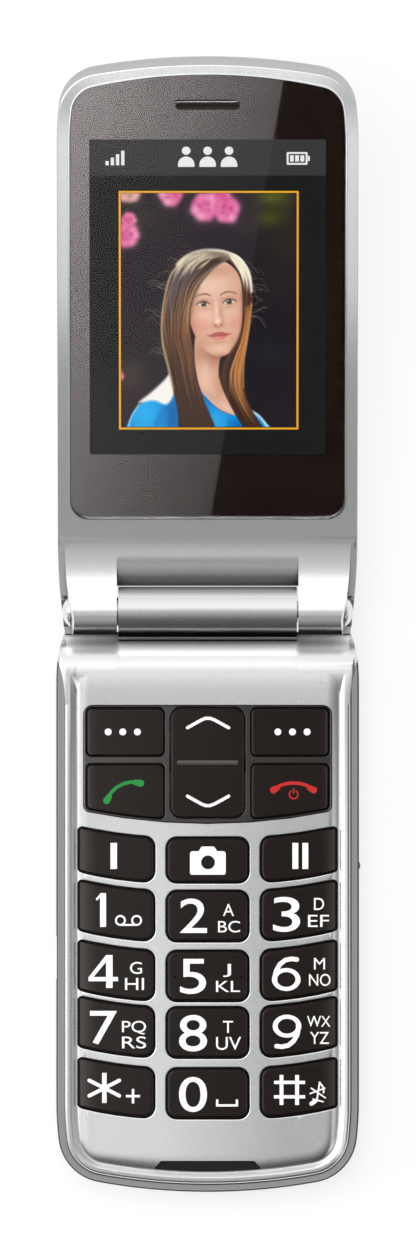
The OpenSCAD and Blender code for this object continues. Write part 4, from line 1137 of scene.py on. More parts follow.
# ---- Lid outer cover ----
# The silver back of the lid, with rounded edges, the camera's seat, and the same arms.
camera_y = 86.0
outer = loft("lid_back_cover", [(lid_outline(i), z) for i, z in [
    (3.2, lid_back), (2.5, -8.81), (1.9, -8.65), (1.35, -8.37), (0.9, -8.0), (0.52, -7.5), (0.25, -6.9),
    (0.08, -6.35), (0, -5.8), (0, lid_split - 0.05)]])
carve(outer, [lid_side()], "INTERSECT")
carve(outer, [loft("cavity", [(lid_outline(i, 13), z) for i, z in [
    (4, lid_back + 1.1), (2, lid_back + 1.8), (1.4, lid_back + 3), (1.4, lid_split + 1)]]),
    pin("camera_seat", 0, camera_y, 3.65, lid_back - 1, lid_back + 0.75, 96),
    pin("camera_hole", 0, camera_y, 2.6, lid_back, lid_back + 3, 64), barrel_gap()])
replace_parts(settle(raised(outer), "lid", silver), "lid_outer_cover")


# ---- Hinge caps ----
# Domed silver plugs pressed into the outer ends of the lid's knuckles.
cap_r, cap_h = 2.9, 1.45
dome_r = (cap_r ** 2 + cap_h ** 2) / (2 * cap_h)
caps = []
for side in (-1, 1):
    steps = [math.asin(cap_r / dome_r) * (1 - i / 10) for i in range(10)]
    heights = [24.2] + [25.2 + cap_h - dome_r + dome_r * math.cos(a) for a in steps]
    radii = [cap_r] + [dome_r * math.sin(a) for a in steps]
    rings = [(circle(0, 0, r, 60), side * x) for r, x in zip(radii, heights)]
    caps.append(loft("hinge_cap", rings, lambda u, v, w: (w, u, v)))
carve(caps[0], caps[1:], "UNION")
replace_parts(settle(raised(caps[0]), "lid", silver), "hinge_caps")


# ---- Display window ----
# A flat pane set into the lid. Its underside is printed dark except over the display, and
# the print stops at the slot of the earpiece.
glass_top, glass_t = -0.3, 1.0
view_x, view_near, view_far = 21.55, 29.7, 89.5
pane = loft("window_pane", [(window_outline(g), z) for g, z in [
    (0, glass_top - glass_t), (0, -0.42), (-0.03, -0.35), (-0.09, glass_top)]])


def slot_hole():
    return slab("slot_hole", ear_outline(5.66, 0.47, 0.46), -3, 1)


slot_plan = ear_outline(5.77, 0.58, 0.56)
carve(pane, [slab("ear_slot", slot_plan, -3, 1)])
clear_pane, pane_tree, pane_place = new_material("window_pane")
smears = noise(pane_tree, pane_place, 30.0, 4.0)
smear_gloss = maths(pane_tree, "MULTIPLY", smears, 0.012)
skinned(clear_pane, Roughness=smear_gloss, Base_Color=(0.97, 0.97, 0.98, 1), Transmission_Weight=1.0,
        IOR=1.2)
settle(raised(pane), "lid", clear_pane)
print_sheet = slab("window_print", window_outline(-0.1), -1.345, -1.32)
carve(print_sheet, [slab("view", box_outline(-view_x, view_x, view_near, view_far, 0.2), -2, 0),
                    slab("ear_slot", slot_plan, -3, 1)])
window_ink = with_grain("window_ink", (0.0113, 0.0075, 0.0062), 0.008, 0.2, 0.006, 1.0, 0.0,
                        Specular_IOR_Level=1.0)
settle(raised(print_sheet), "lid", window_ink)
slot_lining = carve(slab("slot_lining", ear_outline(5.76, 0.57, 0.55), -1.34, -0.32), [slot_hole()])
slot_edge = carve(slab("slot_edge", ear_outline(5.9, 0.72, 0.7), -0.297, -0.285), [slot_hole()])
carve(slot_lining, [slot_edge], "UNION")
settle(raised(slot_lining), "lid", speaker_black)
gasket = carve(slab("window_gasket", window_outline(0.055), -1.342, -0.42),
               [slab("gasket_hole", window_outline(0.012), -3, 1)])
settle(raised(gasket), "lid", speaker_black)
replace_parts(pane, "display_window")


# ---- Reflector panels ----
# Studio panels and cards that only single pieces mirror. Far ones give the window a sharp gloss
# with a leaning edge and light the lid and the keys. Cards close by shade the cover and the
# hinge; they are set for the opened phone and stay where they are when the lid turns.
def glow_material(name, see_through, one_sided=False):
    material = bpy.data.materials.new(name)
    tree = tree_of(material)
    level = put(tree, "VertexColor", set_layer_name="glow").outputs[0]
    light = put(tree, "Emission", Color=level, Strength=1.0).outputs[0]
    clear = put(tree, "BsdfTransparent").outputs[0]
    if see_through:
        light = put(tree, "AddShader", in0=light, in1=clear).outputs[0]
    if one_sided:
        behind = put(tree, "NewGeometry").outputs["Backfacing"]
        light = put(tree, "MixShader", in0=behind, in1=light, in2=clear).outputs[0]
    put(tree, "OutputMaterial", in0=light)
    return material


veil, slate = glow_material("panel_light", True), glow_material("panel_dark", False)
near_veil = glow_material("near_panel_light", True, True)
near_slate = glow_material("near_panel_dark", False, True)


def panel(name, rows, place, level, material, shown_to, seen_by=("glossy", "transmission")):
    """A panel of patches for some pieces only: rows of (u, v) places, each with a level or colour."""
    mesh = bpy.data.meshes.new(name)
    n = len(rows[0])
    levels = [level(u, v) for row in rows for u, v in row]
    levels = [tone if isinstance(tone, tuple) else (tone,) * 3 for tone in levels]
    patches = [(k * n + i, k * n + i + 1, (k + 1) * n + i + 1, (k + 1) * n + i)
               for k in range(len(rows) - 1) for i in range(n - 1)]
    mesh.from_pydata([place(u, v) for row in rows for u, v in row], [],
                     [patch for patch in patches if any(levels[i][0] > 0 for i in patch)])
    glow = mesh.color_attributes.new("glow", "FLOAT_COLOR", "POINT")
    for i, tone in enumerate(levels):
        glow.data[i].color = tone + (1,)
    piece = bpy.data.objects.new(name, mesh)
    scene.collection.objects.link(piece)
    piece.visible_camera = piece.visible_diffuse = piece.visible_shadow = False
    piece.visible_glossy, piece.visible_transmission = "glossy" in seen_by, "transmission" in seen_by
    mesh.materials.append(material)
    receivers = bpy.data.collections.new(name + "_receivers")
    for receiver in shown_to:
        receivers.objects.link(receiver)
    piece.light_linking.receiver_collection = receivers
    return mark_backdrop(piece)


gloss_top, gloss_low = (14.3, 104.0), (0.2, 15.5)
lens = Vector(camera.location) / mm
facing = Vector((0, -math.sin(math.radians(opening_tilt)), math.cos(math.radians(opening_tilt))))


def mirrored(distance):
    """Maps a place (x, d) on the pane to where the lens sees it mirrored, this far away."""
    def place(x, d):
        on_pane = (lid_frame @ (Vector((x, d, glass_top)) * mm)) / mm
        ray = (on_pane - lens).normalized()
        return (on_pane + (ray - 2 * ray.dot(facing) * facing) * distance) * mm
    return place


def gloss_edge(d):
    return gloss_low[0] + (gloss_top[0] - gloss_low[0]) * (d - gloss_low[1]) / (gloss_top[1] - gloss_low[1])


def print_gloss(x, d):
    tone = (150 - 1.69 * (x + 24.3) - 0.605 * (97 - d)) / 255
    level = max(((tone + 0.055) / 1.055) ** 2.4 - 0.012, 0.004) / 0.085
    return (level, level * 0.94, level * 0.925)


def pane_gloss(x, d):
    return float(np.interp(d, (30, 50, 72, 90), (1.5, 0.85, 0.1, 0.37)))


heights = [10 + 100 * i / 12 for i in range(13)]
lit_rows = [[(-32 + (gloss_edge(d) + 32) * i / 6, d) for i in range(7)] for d in heights]
panel("gloss_on_print", lit_rows, mirrored(2390.0), print_gloss, slate, [pane], ["transmission"])
panel("gloss_on_pane", lit_rows, mirrored(2400.0), pane_gloss, slate, [pane], ["glossy"])
panel("gloss_dark_side", [[(gloss_edge(d), d), (24, d), (32, d)] for d in heights], mirrored(2400.0),
      lambda x, d: (0.004, 0.002, 0.0015), slate, [pane])


def between(stops, place):
    """Level at a place, in a straight line from stop to stop."""
    return float(np.interp(place, [at for at, level in stops], [level for at, level in stops]))


def lid_light(x, d):
    level = between([(-160, 0), (-134, 0.08), (-91, 0.14), (-58, 0.2), (-30, 0.27), (-4, 0.32), (8, 0.24),
                     (20, 0.12), (31, 0.16),
                     (46, 0.32), (64, 0.63), (91, 0.82), (105, 0.85), (113, 0.5), (130, 0.6), (200, 0.5)], d)
    return level * between([(-25, 1.0), (25, 0.95)], x)


def near_share(d):
    """How much of the lid's light comes from the panel right above it."""
    return between([(45, 0), (60, 0.75), (105, 0.75), (112, 0)], d)


def lid_level(x, d):
    return lid_light(x, d) * (1 - near_share(d))


def lid_near_level(x, d):
    """The near part of the lid's light: over the window's frame, and less over its two far corners."""
    corner = math.exp(-((abs(x) - 26.2) ** 2 + (d - 98) ** 2) / (2 * 3.4 ** 2))
    frame_share = min(max(abs(x) - 22.5, d - (101 - x * x / 188), 0), 1)
    return frame_share * lid_light(x, d) * near_share(d) * (1 - corner)


def wing_level(x, d):
    """Light beyond the lid's outline, which only the window's raised lip mirrors."""
    outside = min(max(abs(x) - 34, d - 110, 0) / 4, 1)
    return outside * between([(20, 0.1), (50, 0.25), (70, 1.0), (98, 1.8)], d)


def over_lid(height):
    return lambda x, d: lid_frame @ (Vector((x, d, height)) * mm)


def face_level(x, y):
    """Above the key face: fading to the right, lifted on the right rim and towards the hinge."""
    if -26 < x < -24:
        left_groove = between([(28, 0), (37, 0.4), (43, 0.3), (46.5, 0)], y)
        return left_groove * between([(-26, 0), (-25.5, 0.4), (-25, 1), (-24.5, 0)], x)
    keys_level = between([(-23.9, 0.0), (-23.2, 0.24), (-20, 0.3), (-8.3, 0.28), (13.8, 0.0), (23.3, 0.0),
                          (23.7, 0.5), (24.5, 0.5), (24.7, 0.2), (25.2, 0.42), (25.9, 0.4), (26.2, 0.0)], x)
    return between([(-48, 0), (-46, keys_level), (12, keys_level), (36, 0.1), (38.7, 0.11), (40.2, 0.2),
                    (42.2, 0.4), (44.6, 0.12), (46.5, 0.0)], y)


neck_half = 16.5


def neck_level(x, z):
    if abs(x) > neck_half:
        return between([(6.0, 0.1), (6.8, 0.25), (7.6, 0.45), (8.6, 0.55), (9.7, 0.6), (11.2, 0.36),
                        (12.5, 0.2), (13.2, 0.0)], z)
    return between([(7.7, 0.6), (8.5, 0.95), (9.6, 1.0), (11.1, 1.4), (12.3, 1.5), (12.9, 0.6), (13.2, 0.0)],
                   z)


def before_neck(x, z):
    """Just in front of the lid's knuckles, and in the middle of the centre knuckle's neck."""
    upright = shoulder_y - 0.95
    leaning = 47.15 + 0.2114 * (z - 3.62)
    return Vector((x, upright if abs(x) > neck_half else min(upright, leaning), z)) * mm


def key_level(x, y):
    level = between([(-120, 10.5), (-81, 10.5), (-70, 8), (-60, 5), (-38, 2.1), (-16, 1.8), (0, 0.55),
                     (16, 0.0), (38, 0.3), (51, 1.2), (61, 3.0), (71, 6.0), (120, 6.0)], x)
    return (level, level * 0.97, level * 0.95)


def above(height):
    return lambda x, y: Vector((x, y, height)) * mm


def around_hinge(r):
    return lambda x, a: Vector((x, hinge_y + r * math.cos(math.radians(a)),
                                hinge_z + r * math.sin(math.radians(a)))) * mm


def barrel_level(x, a):
    return between([(0, 0.15), (20, 0.22), (40, 0.5), (50, 0.85), (55, 1.0)], a)


far_d, near_d, keys_height, face_gap_z, gap_z = 150.0, 20.0, 110.0, 12.0, 10.9
bar_card_r, barrel_card_r, card_half = 4.7, 4.62, 16.2
panel("lid_panel", [[(x, d) for x in (-90, -25, 25, 90)] for d in range(-160, 201, 5)], mirrored(far_d),
      lid_level, veil, [inner, outer])
panel("face_panel", [[(x / 4, y) for x in range(110, -111, -1)] for y in range(-56, 49)], above(face_gap_z),
      face_level, near_veil, [cover])
panel("neck_panel", [[(x, z / 4) for x in (-26, -neck_half - 0.1, 0.1 - neck_half, neck_half - 0.1,
                                           neck_half + 0.1, 26)] for z in range(22, 54)],
      before_neck, neck_level, near_veil, [cover])
panel("gap_card", [[(x, y) for x in (-60, 60)] for y in (37, 48.9)], above(gap_z),
      lambda x, y: 0.01, near_slate, [inner, outer, caps[0]])
panel("key_panel", [[(x, y) for x in range(-120, 121, 5)] for y in range(-90, 71, 5)], above(keys_height),
      key_level, veil, key_caps + [rocker, plate])
panel("tip_card", [[(x, y) for x in (-200, 200)] for y in (135, 400)], above(0.5),
      lambda x, y: 0.62, slate, [inner, outer])
panel("lid_near_panel", [[(x / 2, d) for x in range(-58, 59)] for d in range(40, 107)], mirrored(near_d),
      lid_near_level, veil, [inner])
panel("lip_panel", [[(x, d) for x in range(-52, 53, 4)] for d in range(16, 130, 4)], over_lid(near_d),
      wing_level, veil, [inner])
panel("bar_card", [[(x, a) for x in (card_half, -card_half)] for a in range(-100, 85, 5)],
      around_hinge(bar_card_r), lambda x, a: 0.13, near_slate, [inner, outer])
panel("barrel_card", [[(x, a) for x in (-card_half, card_half)] for a in range(-40, 56, 5)],
      around_hinge(barrel_card_r), barrel_level, near_slate, [cover])


# ---- Display ----
# The lit panel under the window. It shows a photo contact: a bar with plain signs, and a
# portrait in an orange frame. The ground, the bar, its signs and the frame are thin cut-outs of their own.
def lit(name, tone, spread=0.04):
    """Light from the display, with the faint unevenness of its backlight."""
    material, tree, place = new_material(name)
    cloud = noise(tree, place, 40.0, 2.0)
    colour = tone
    if isinstance(tone, str):
        colour = put(tree, "VertexColor", set_layer_name=tone).outputs[0]
    level = maths(tree, "ADD", 1 - spread / 2, maths(tree, "MULTIPLY", cloud, spread))
    return skinned(material, Base_Color=(0.002, 0.002, 0.002, 1), Roughness=0.5, Specular_IOR_Level=0.0,
                   Emission_Color=colour, Emission_Strength=level)


def cut_out(name, outline, level, material):
    return settle(raised(slab(name, outline, level - 0.004, level)), "lid", material)


screen_x, screen_near, screen_far, sign_level = 21.9, 29.3, 89.9, -1.372
cut_out("screen_ground", box_outline(-screen_x, screen_x, screen_near, screen_far, 0.1), -1.385,
        lit("screen_dark", (0.0118, 0.0118, 0.0118, 1)))
cut_out("screen_bar", box_outline(-screen_x, screen_x, 82.65, screen_far, 0.05), -1.378,
        lit("screen_bar", (0.0405, 0.0405, 0.0405, 1)))
sign_white = lit("screen_white", (0.86, 0.86, 0.86, 1))
for i in range(4):
    cut_out("signal_bar", box_outline(-18.6 + i * 0.95, -18.0 + i * 0.95, 84.6, 85.4 + i * 0.65, 0.05),
            sign_level, sign_white)
for x in (-3.9, 0.0, 3.9):
    cut_out("person_head", circle(x, 87.35, 0.78, 36), sign_level, sign_white)
    cut_out("person_body", [(x - 1.5, 84.3), (x + 1.5, 84.3)] + arc(x, 84.75, 1.5, 0, 180, 20), sign_level,
            sign_white)
battery_edge = carve(slab("battery_edge", box_outline(14.4, 18.2, 84.7, 87.1, 0.2), -1.376, sign_level),
                     [slab("battery_hollow", box_outline(14.75, 17.85, 85.05, 86.75, 0.1), -2, 0)])
settle(raised(battery_edge), "lid", sign_white)
cut_out("battery_knob", box_outline(18.25, 18.6, 85.4, 86.4, 0.1), sign_level, sign_white)
for i in range(3):
    cut_out("battery_level", box_outline(15.0 + i * 0.95, 15.7 + i * 0.95, 85.3, 86.5, 0.05), sign_level,
            sign_white)
frame_x0, frame_x1, frame_d0, frame_d1, frame_line = -16.2, 16.6, 34.45, 79.75, 0.36
picture_frame = carve(slab("picture_frame", box_outline(frame_x0, frame_x1, frame_d0, frame_d1, 0.05),
                           -1.366, -1.362),
                      [slab("opening", box_outline(frame_x0 + frame_line, frame_x1 - frame_line,
                                                   frame_d0 + frame_line,
                                                   frame_d1 - frame_line, 0.02), -2, 0)])
settle(raised(picture_frame), "lid", lit("frame_orange", (0.86, 0.405, 0.02, 1)))


# ---- Portrait ----
# The picture of the photo contact: an invented young person with long brown hair in a garden,
# in soft shade with the sun behind. It is painted dot by dot, from the back to the front.
dots_wide, dots_high, fineness = 176, 234, 1.25
dot_x, dot_y = np.meshgrid((np.arange(int(dots_wide * fineness)) + 0.5) / fineness,
                           (np.arange(int(dots_high * fineness)) + 0.5) / fineness)
paint = np.zeros(dot_x.shape + (3,))
chance = np.random.default_rng(7)


def lay(cover, tone):
    """Lays a colour (0 to 255) over the picture where it covers."""
    paint[:] += (np.array(tone) / 255 - paint) * np.clip(cover, 0, 1)[..., None]


def haze(x, y, rx, ry, tone, strength=1.0, lean=0.0, within=1.0):
    """A soft round spot of colour, which can stay within an area."""
    c, s = math.cos(math.radians(lean)), math.sin(math.radians(lean))
    u, v = (dot_x - x) * c + (dot_y - y) * s, (dot_y - y) * c - (dot_x - x) * s
    lay(within * strength * np.exp(-((u / rx) ** 2 + (v / ry) ** 2)), tone)


def flowing(points, steps=6, closed=False):
    """A smooth curve through the points."""
    p = np.array(points, float)
    p = np.vstack([p[-1], p, p[0], p[1]]) if closed else np.vstack([2 * p[0] - p[1], p, 2 * p[-1] - p[-2]])
    t = (np.arange(steps) / steps)[:, None]
    spans = [0.5 * (2 * b + (c - a) * t + (2 * a - 5 * b + 4 * c - d) * t ** 2
                    + (3 * b - a - 3 * c + d) * t ** 3)
             for a, b, c, d in zip(p, p[1:], p[2:], p[3:])]
    return np.vstack(spans if closed else spans + [p[-2:-1]])


def away_from(line):
    """Distance of the dots near a line of points from it; the others count as far away."""
    nearest = np.full(dot_x.shape, 1000.0)
    low, high = np.array(line).min(0) - 12, np.array(line).max(0) + 12
    part = tuple(slice(max(int(low[k] * fineness), 0), max(int(high[k] * fineness), 0)) for k in (1, 0))
    near_x, near_y, near = dot_x[part], dot_y[part], nearest[part]
    for (ax, ay), (bx, by) in zip(line, line[1:]):
        share = ((near_x - ax) * (bx - ax) + (near_y - ay) * (by - ay)) / ((bx - ax) ** 2 + (by - ay) ** 2
                                                                           + 1e-9)
        share = np.clip(share, 0, 1)
        np.minimum(near, np.hypot(near_x - ax - share * (bx - ax), near_y - ay - share * (by - ay)),
                   out=near)
    return nearest


def area(points, soft):
    """How much each dot lies inside a smooth closed outline with a soft edge."""
    line = flowing(points, 5, True)
    line = np.vstack([line, line[:1]])
    inside = np.zeros(dot_x.shape, bool)
    for (ax, ay), (bx, by) in zip(line, line[1:]):
        rows = slice(max(int((min(ay, by) - 1) * fineness), 0), max(int((max(ay, by) + 1) * fineness), 0))
        if ay != by:
            y = dot_y[rows]
            inside[rows] ^= ((ay > y) != (by > y)) & (dot_x[rows] < (bx - ax) * (y - ay) / (by - ay) + ax)
    return np.clip(0.5 + np.where(inside, 1, -1) * away_from(line) / soft, 0, 1)


def line_of(points, width, tone, strength, soft=0.8):
    """A curved line, for lids, brows and loose hairs."""
    lay(strength * np.clip(0.5 + (width / 2 - away_from(flowing(points))) / soft, 0, 1), tone)


def strand(line, width, tone, strength):
    """A lock that runs down the picture; its width and strength fade to both ends."""
    rows = np.nonzero((dot_y[:, 0] >= line[0, 1]) & (dot_y[:, 0] <= line[-1, 1]))[0]
    if len(rows) < 4:
        return
    middle = np.interp(dot_y[rows, 0], line[:, 1], line[:, 0])
    fade = np.sin(np.linspace(0.15, math.pi - 0.05, len(rows))) ** 0.6
    reach = int(width * fineness / 2 + 3)
    for step in range(-reach, reach + 1):
        columns = np.round(middle * fineness - 0.5).astype(int) + step
        kept = (columns >= 0) & (columns < dot_x.shape[1])
        r, c = rows[kept], columns[kept]
        off = np.abs(dot_x[r, c] - middle[kept])
        cover = strength * fade[kept] * np.clip(0.5 + (width * fade[kept] / 2 - off), 0, 1)
        paint[r, c] += (np.array(tone) / 255 - paint[r, c]) * cover[:, None]


def tresses(one_side, other_side, count, tones, width, strength, wander=1.0, spread=(0, 1), ragged=0.0):
    """Locks that fan out between two guide lines; ragged ones end at different places."""
    a, b = np.array(one_side, float), np.array(other_side, float)
    for i in range(count):
        share = chance.uniform(*spread)
        start = chance.uniform(0, 0.35) if chance.random() < 0.5 else 0
        points = a + (b - a) * (share + chance.normal(0, 0.02, len(a))[:, None])
        points = points + np.column_stack([chance.normal(0, wander, len(a)) * np.linspace(0, 1, len(a)),
                                           np.zeros(len(a))])
        points = flowing(points)
        points = points[int(start * len(points)):]
        points = points[:max(int(len(points) * (1 - ragged * chance.random())), 4)]
        tone = np.array(tones[chance.integers(len(tones))]) * chance.uniform(0.88, 1.12)
        strand(points, chance.uniform(*width), np.clip(tone, 0, 255), chance.uniform(*strength))


# the garden: deep shade, out-of-focus leaves and pink blossoms
lay(np.ones(dot_x.shape), (44, 36, 42))
haze(150, 130, 60, 130, (27, 24, 31), 0.9)
haze(20, 150, 60, 70, (42, 38, 42), 0.8)
for spot in [
        (153, 4, 16, 9, (104, 112, 32), 0.8), (148, 25, 13, 9, (88, 94, 26), 0.75),
        (163, 16, 10, 16, (60, 66, 30), 0.6),
        (165, 50, 22, 22, (48, 46, 32), 0.6), (125, 30, 16, 20, (58, 46, 52), 0.5),
        (158, 92, 20, 24, (46, 38, 38), 0.6),
        (10, 182, 14, 16, (84, 66, 58), 0.6), (18, 205, 18, 12, (56, 42, 44), 0.6),
        (20, 24, 16, 10, (60, 62, 44), 0.5),
        (150, 160, 20, 14, (40, 36, 44), 0.6), (28, 100, 22, 26, (36, 34, 40), 0.6)]:
    haze(*spot)
blooms = [(84, 14, 15, 1.0), (99, 5, 12, 1.0), (106, 17, 14, 1.0), (50, 1, 13, 0.9), (6, 42, 13, 1.0),
          (8, 27, 8, 0.9), (8, -1, 12, 0.35), (-3, 182, 6, 0.8)]
for x, y, size, pink in blooms:
    lay(area([(x + 0.9 * size * math.cos(a), y + 0.9 * size * math.sin(a))
              for a in np.arange(0, math.tau, 0.7)], 4), (206, 84 + 90 * (1 - pink), 140 + 4 * (1 - pink)))
    for petal in range(6):
        turn = petal * math.tau / 6 + chance.uniform(-0.3, 0.3)
        px, py = x + 0.62 * size * math.cos(turn), y + 0.62 * size * math.sin(turn)
        light = chance.uniform(0.0, 1.0)
        tone = np.array((228, 100, 158)) * (1 - light) + np.array((250, 178, 206)) * light
        tone = tone * pink + np.array((214, 190, 160)) * (1 - pink)
        haze(px, py, 0.42 * size, 0.36 * size, tone, 0.85, math.degrees(turn))
        haze(x + 0.34 * size * math.cos(turn + 0.5), y + 0.34 * size * math.sin(turn + 0.5), 0.17 * size,
             0.14 * size, (186, 48, 112) if pink > 0.5 else (150, 110, 84), 0.6)

# the head's own frame: across from its middle line, and down from the crown as a share of its height
head_top, head_tall, head_lean = (91.0, 57.0), 106.0, 5.0


def on_head(u, v):
    c, s = math.cos(math.radians(head_lean)), math.sin(math.radians(head_lean))
    return (head_top[0] + u * c + v * head_tall * s, head_top[1] - u * s + v * head_tall * c)


def head_line(points):
    return [on_head(u, v) for u, v in points]


eye_u, eye_v = 12.8, 0.5


def by_eye(side, points):
    """Places round the eye on one side, outwards and down from its middle."""
    return [on_head(side * (eye_u + u), eye_v + v) for u, v in points]


def head_haze(u, v, ru, rv, tone, strength):
    haze(*on_head(u, v), ru, rv, tone, strength, -head_lean)


# hair that falls behind the neck and the shoulders
dark_hair, mid_hair = (44, 30, 26), (82, 55, 41)
light_hair, gold_hair, pale_hair = (150, 104, 72), (212, 158, 100), (250, 234, 200)
lay(area([(84, 56), (62, 62), (49, 80), (43, 104), (40, 130), (41, 150), (46, 170), (51, 190), (55, 210),
          (60, 240), (104, 240),
          (88, 205), (79, 180), (80, 150), (122, 150), (98, 165), (98, 182), (106, 204), (118, 226),
          (128, 240), (147, 240),
          (133, 220), (124, 203), (121, 190), (123, 170), (126, 150), (129, 120), (131, 90), (124, 72),
          (110, 60)], 1.4), dark_hair)

# neck, chest and the blue top
skin, skin_lit, skin_deep = (228, 178, 152), (250, 214, 190), (170, 108, 84)
neck = area([(76, 140), (104, 150), (99, 166), (98, 182), (103, 196), (114, 212), (120, 226), (112, 230),
             (84, 214), (76, 190)], 1.2)
lay(neck, skin)
for spot in [
        (96, 160, 22, 13, skin_deep, 0.85, 0), (84, 182, 6, 18, skin_lit, 0.5, 0),
        (99, 190, 5, 16, (200, 142, 116), 0.6, 0),
        (96, 207, 16, 2.6, (196, 140, 116), 0.5, 38), (104, 213, 12, 2.5, skin_lit, 0.6, 38)]:
    haze(*spot, neck)
top_blue, top_lit, top_deep = (22, 148, 222), (44, 186, 246), (8, 88, 160)
top = np.maximum(area([(6, 246), (9, 226), (16, 214), (30, 202), (44, 190), (56, 184), (62, 200), (66, 246)],
                      1.2),
                 area([(76, 196), (84, 202), (98, 216), (112, 222), (116, 218), (128, 216), (142, 226),
                       (154, 246), (76, 246)], 1.2))
lay(top, top_blue)
for spot in [
        (24, 220, 14, 16, top_lit, 0.8, 0), (52, 222, 8, 24, top_deep, 0.8, 0),
        (94, 226, 14, 9, top_lit, 0.6, 40),
        (118, 234, 11, 8, top_deep, 0.7, 0), (38, 226, 3, 16, (12, 118, 196), 0.6, 24),
        (84, 214, 5, 12, top_deep, 0.6, -20)]:
    haze(*spot, top)
line_of([(80, 200), (89, 209), (100, 217), (112, 222)], 1.2, top_deep, 0.7)
lay(area([(18, 209), (30, 199), (42, 188), (50, 180), (54, 190), (52, 203), (45, 211), (33, 207)], 3.0),
    (252, 249, 240))
line_of([(7, 236), (10, 224), (18, 211)], 1.4, (190, 232, 250), 0.8, 1.4)
line_of([(128, 216), (139, 223), (149, 236)], 2.4, (232, 244, 248), 0.8, 1.6)

# face
outline = [(0, 0.10), (14, 0.13), (24, 0.24), (28.5, 0.40), (29, 0.55), (27, 0.69), (22, 0.83),
           (14.5, 0.935), (6, 0.99)]
face = area(head_line(outline + [(0, 1.0)] + [(-u, v) for u, v in outline[:0:-1]]), 1.2)
lay(face, skin)
kept = paint.copy()
for spot in [
        (-6, 0.30, 20, 15, skin_lit, 0.7), (26, 0.52, 8, 34, (214, 156, 126), 0.65),
        (-27, 0.55, 7, 34, (190, 132, 104), 0.75),
        (0, 0.20, 26, 7, (200, 144, 116), 0.6), (-13, 0.62, 10, 8, skin_lit, 0.65),
        (14, 0.62, 9, 8, skin_lit, 0.45),
        (-17, 0.69, 9, 8, (232, 148, 128), 0.5), (18, 0.69, 8, 8, (226, 142, 120), 0.5),
        (0, 0.93, 9, 5, skin_lit, 0.5),
        (18, 0.87, 8, 7, (204, 146, 118), 0.6), (-18, 0.87, 8, 7, (206, 148, 122), 0.5),
        (0, 1.0, 18, 3, (190, 132, 106), 0.6),
        (-12.5, 0.475, 8.5, 3.2, (196, 142, 120), 0.6), (12.5, 0.475, 8.5, 3.2, (190, 136, 114), 0.65),
        (-12.5, 0.545, 7, 1.8, (206, 156, 136), 0.5), (12.5, 0.545, 7, 1.8, (200, 150, 130), 0.5)]:
    head_haze(*spot)
# nose, lit from the left
for spot in [
        (-0.6, 0.56, 2.2, 11, skin_lit, 0.75), (4.0, 0.60, 1.9, 9, (198, 142, 116), 0.6),
        (-4.0, 0.52, 1.4, 6, (206, 152, 128), 0.4),
        (0, 0.665, 3.0, 2.6, (255, 226, 206), 0.85), (5.2, 0.688, 1.9, 2.2, (196, 136, 112), 0.55),
        (-5.2, 0.688, 1.9, 2.2, (208, 150, 126), 0.45), (0, 0.722, 5.5, 1.4, (184, 124, 100), 0.6),
        (-2.7, 0.706, 1.3, 0.75, (120, 66, 54), 0.8), (2.7, 0.706, 1.3, 0.75, (112, 60, 50), 0.8),
        (0, 0.752, 1.3, 2.6, (204, 148, 124), 0.4)]:
    head_haze(*spot)
# closed, calm mouth
upper_lip = [(-10.4, 0.800), (-5.5, 0.781), (-1.9, 0.771), (0, 0.776), (1.9, 0.771), (5.5, 0.781),
             (10.4, 0.800), (4.5, 0.806), (0, 0.808), (-4.5, 0.806)]
lower_lip = [(-10.2, 0.801), (-4.5, 0.807), (0, 0.809), (4.5, 0.807), (10.2, 0.801), (6.4, 0.829),
             (2.5, 0.843), (-2.5, 0.843), (-6.4, 0.829)]
lay(area(head_line(upper_lip), 0.9), (190, 98, 94))
lay(area(head_line(lower_lip), 0.9), (212, 122, 114))
head_haze(-1.5, 0.826, 3.6, 1.1, (244, 176, 164), 0.75)
line_of(head_line([(-10.8, 0.799), (-5, 0.806), (0, 0.8085), (5, 0.806), (10.8, 0.799)]), 0.55,
        (124, 56, 54), 0.8, 0.7)
head_haze(0, 0.868, 6.5, 1.6, (196, 138, 114), 0.55)
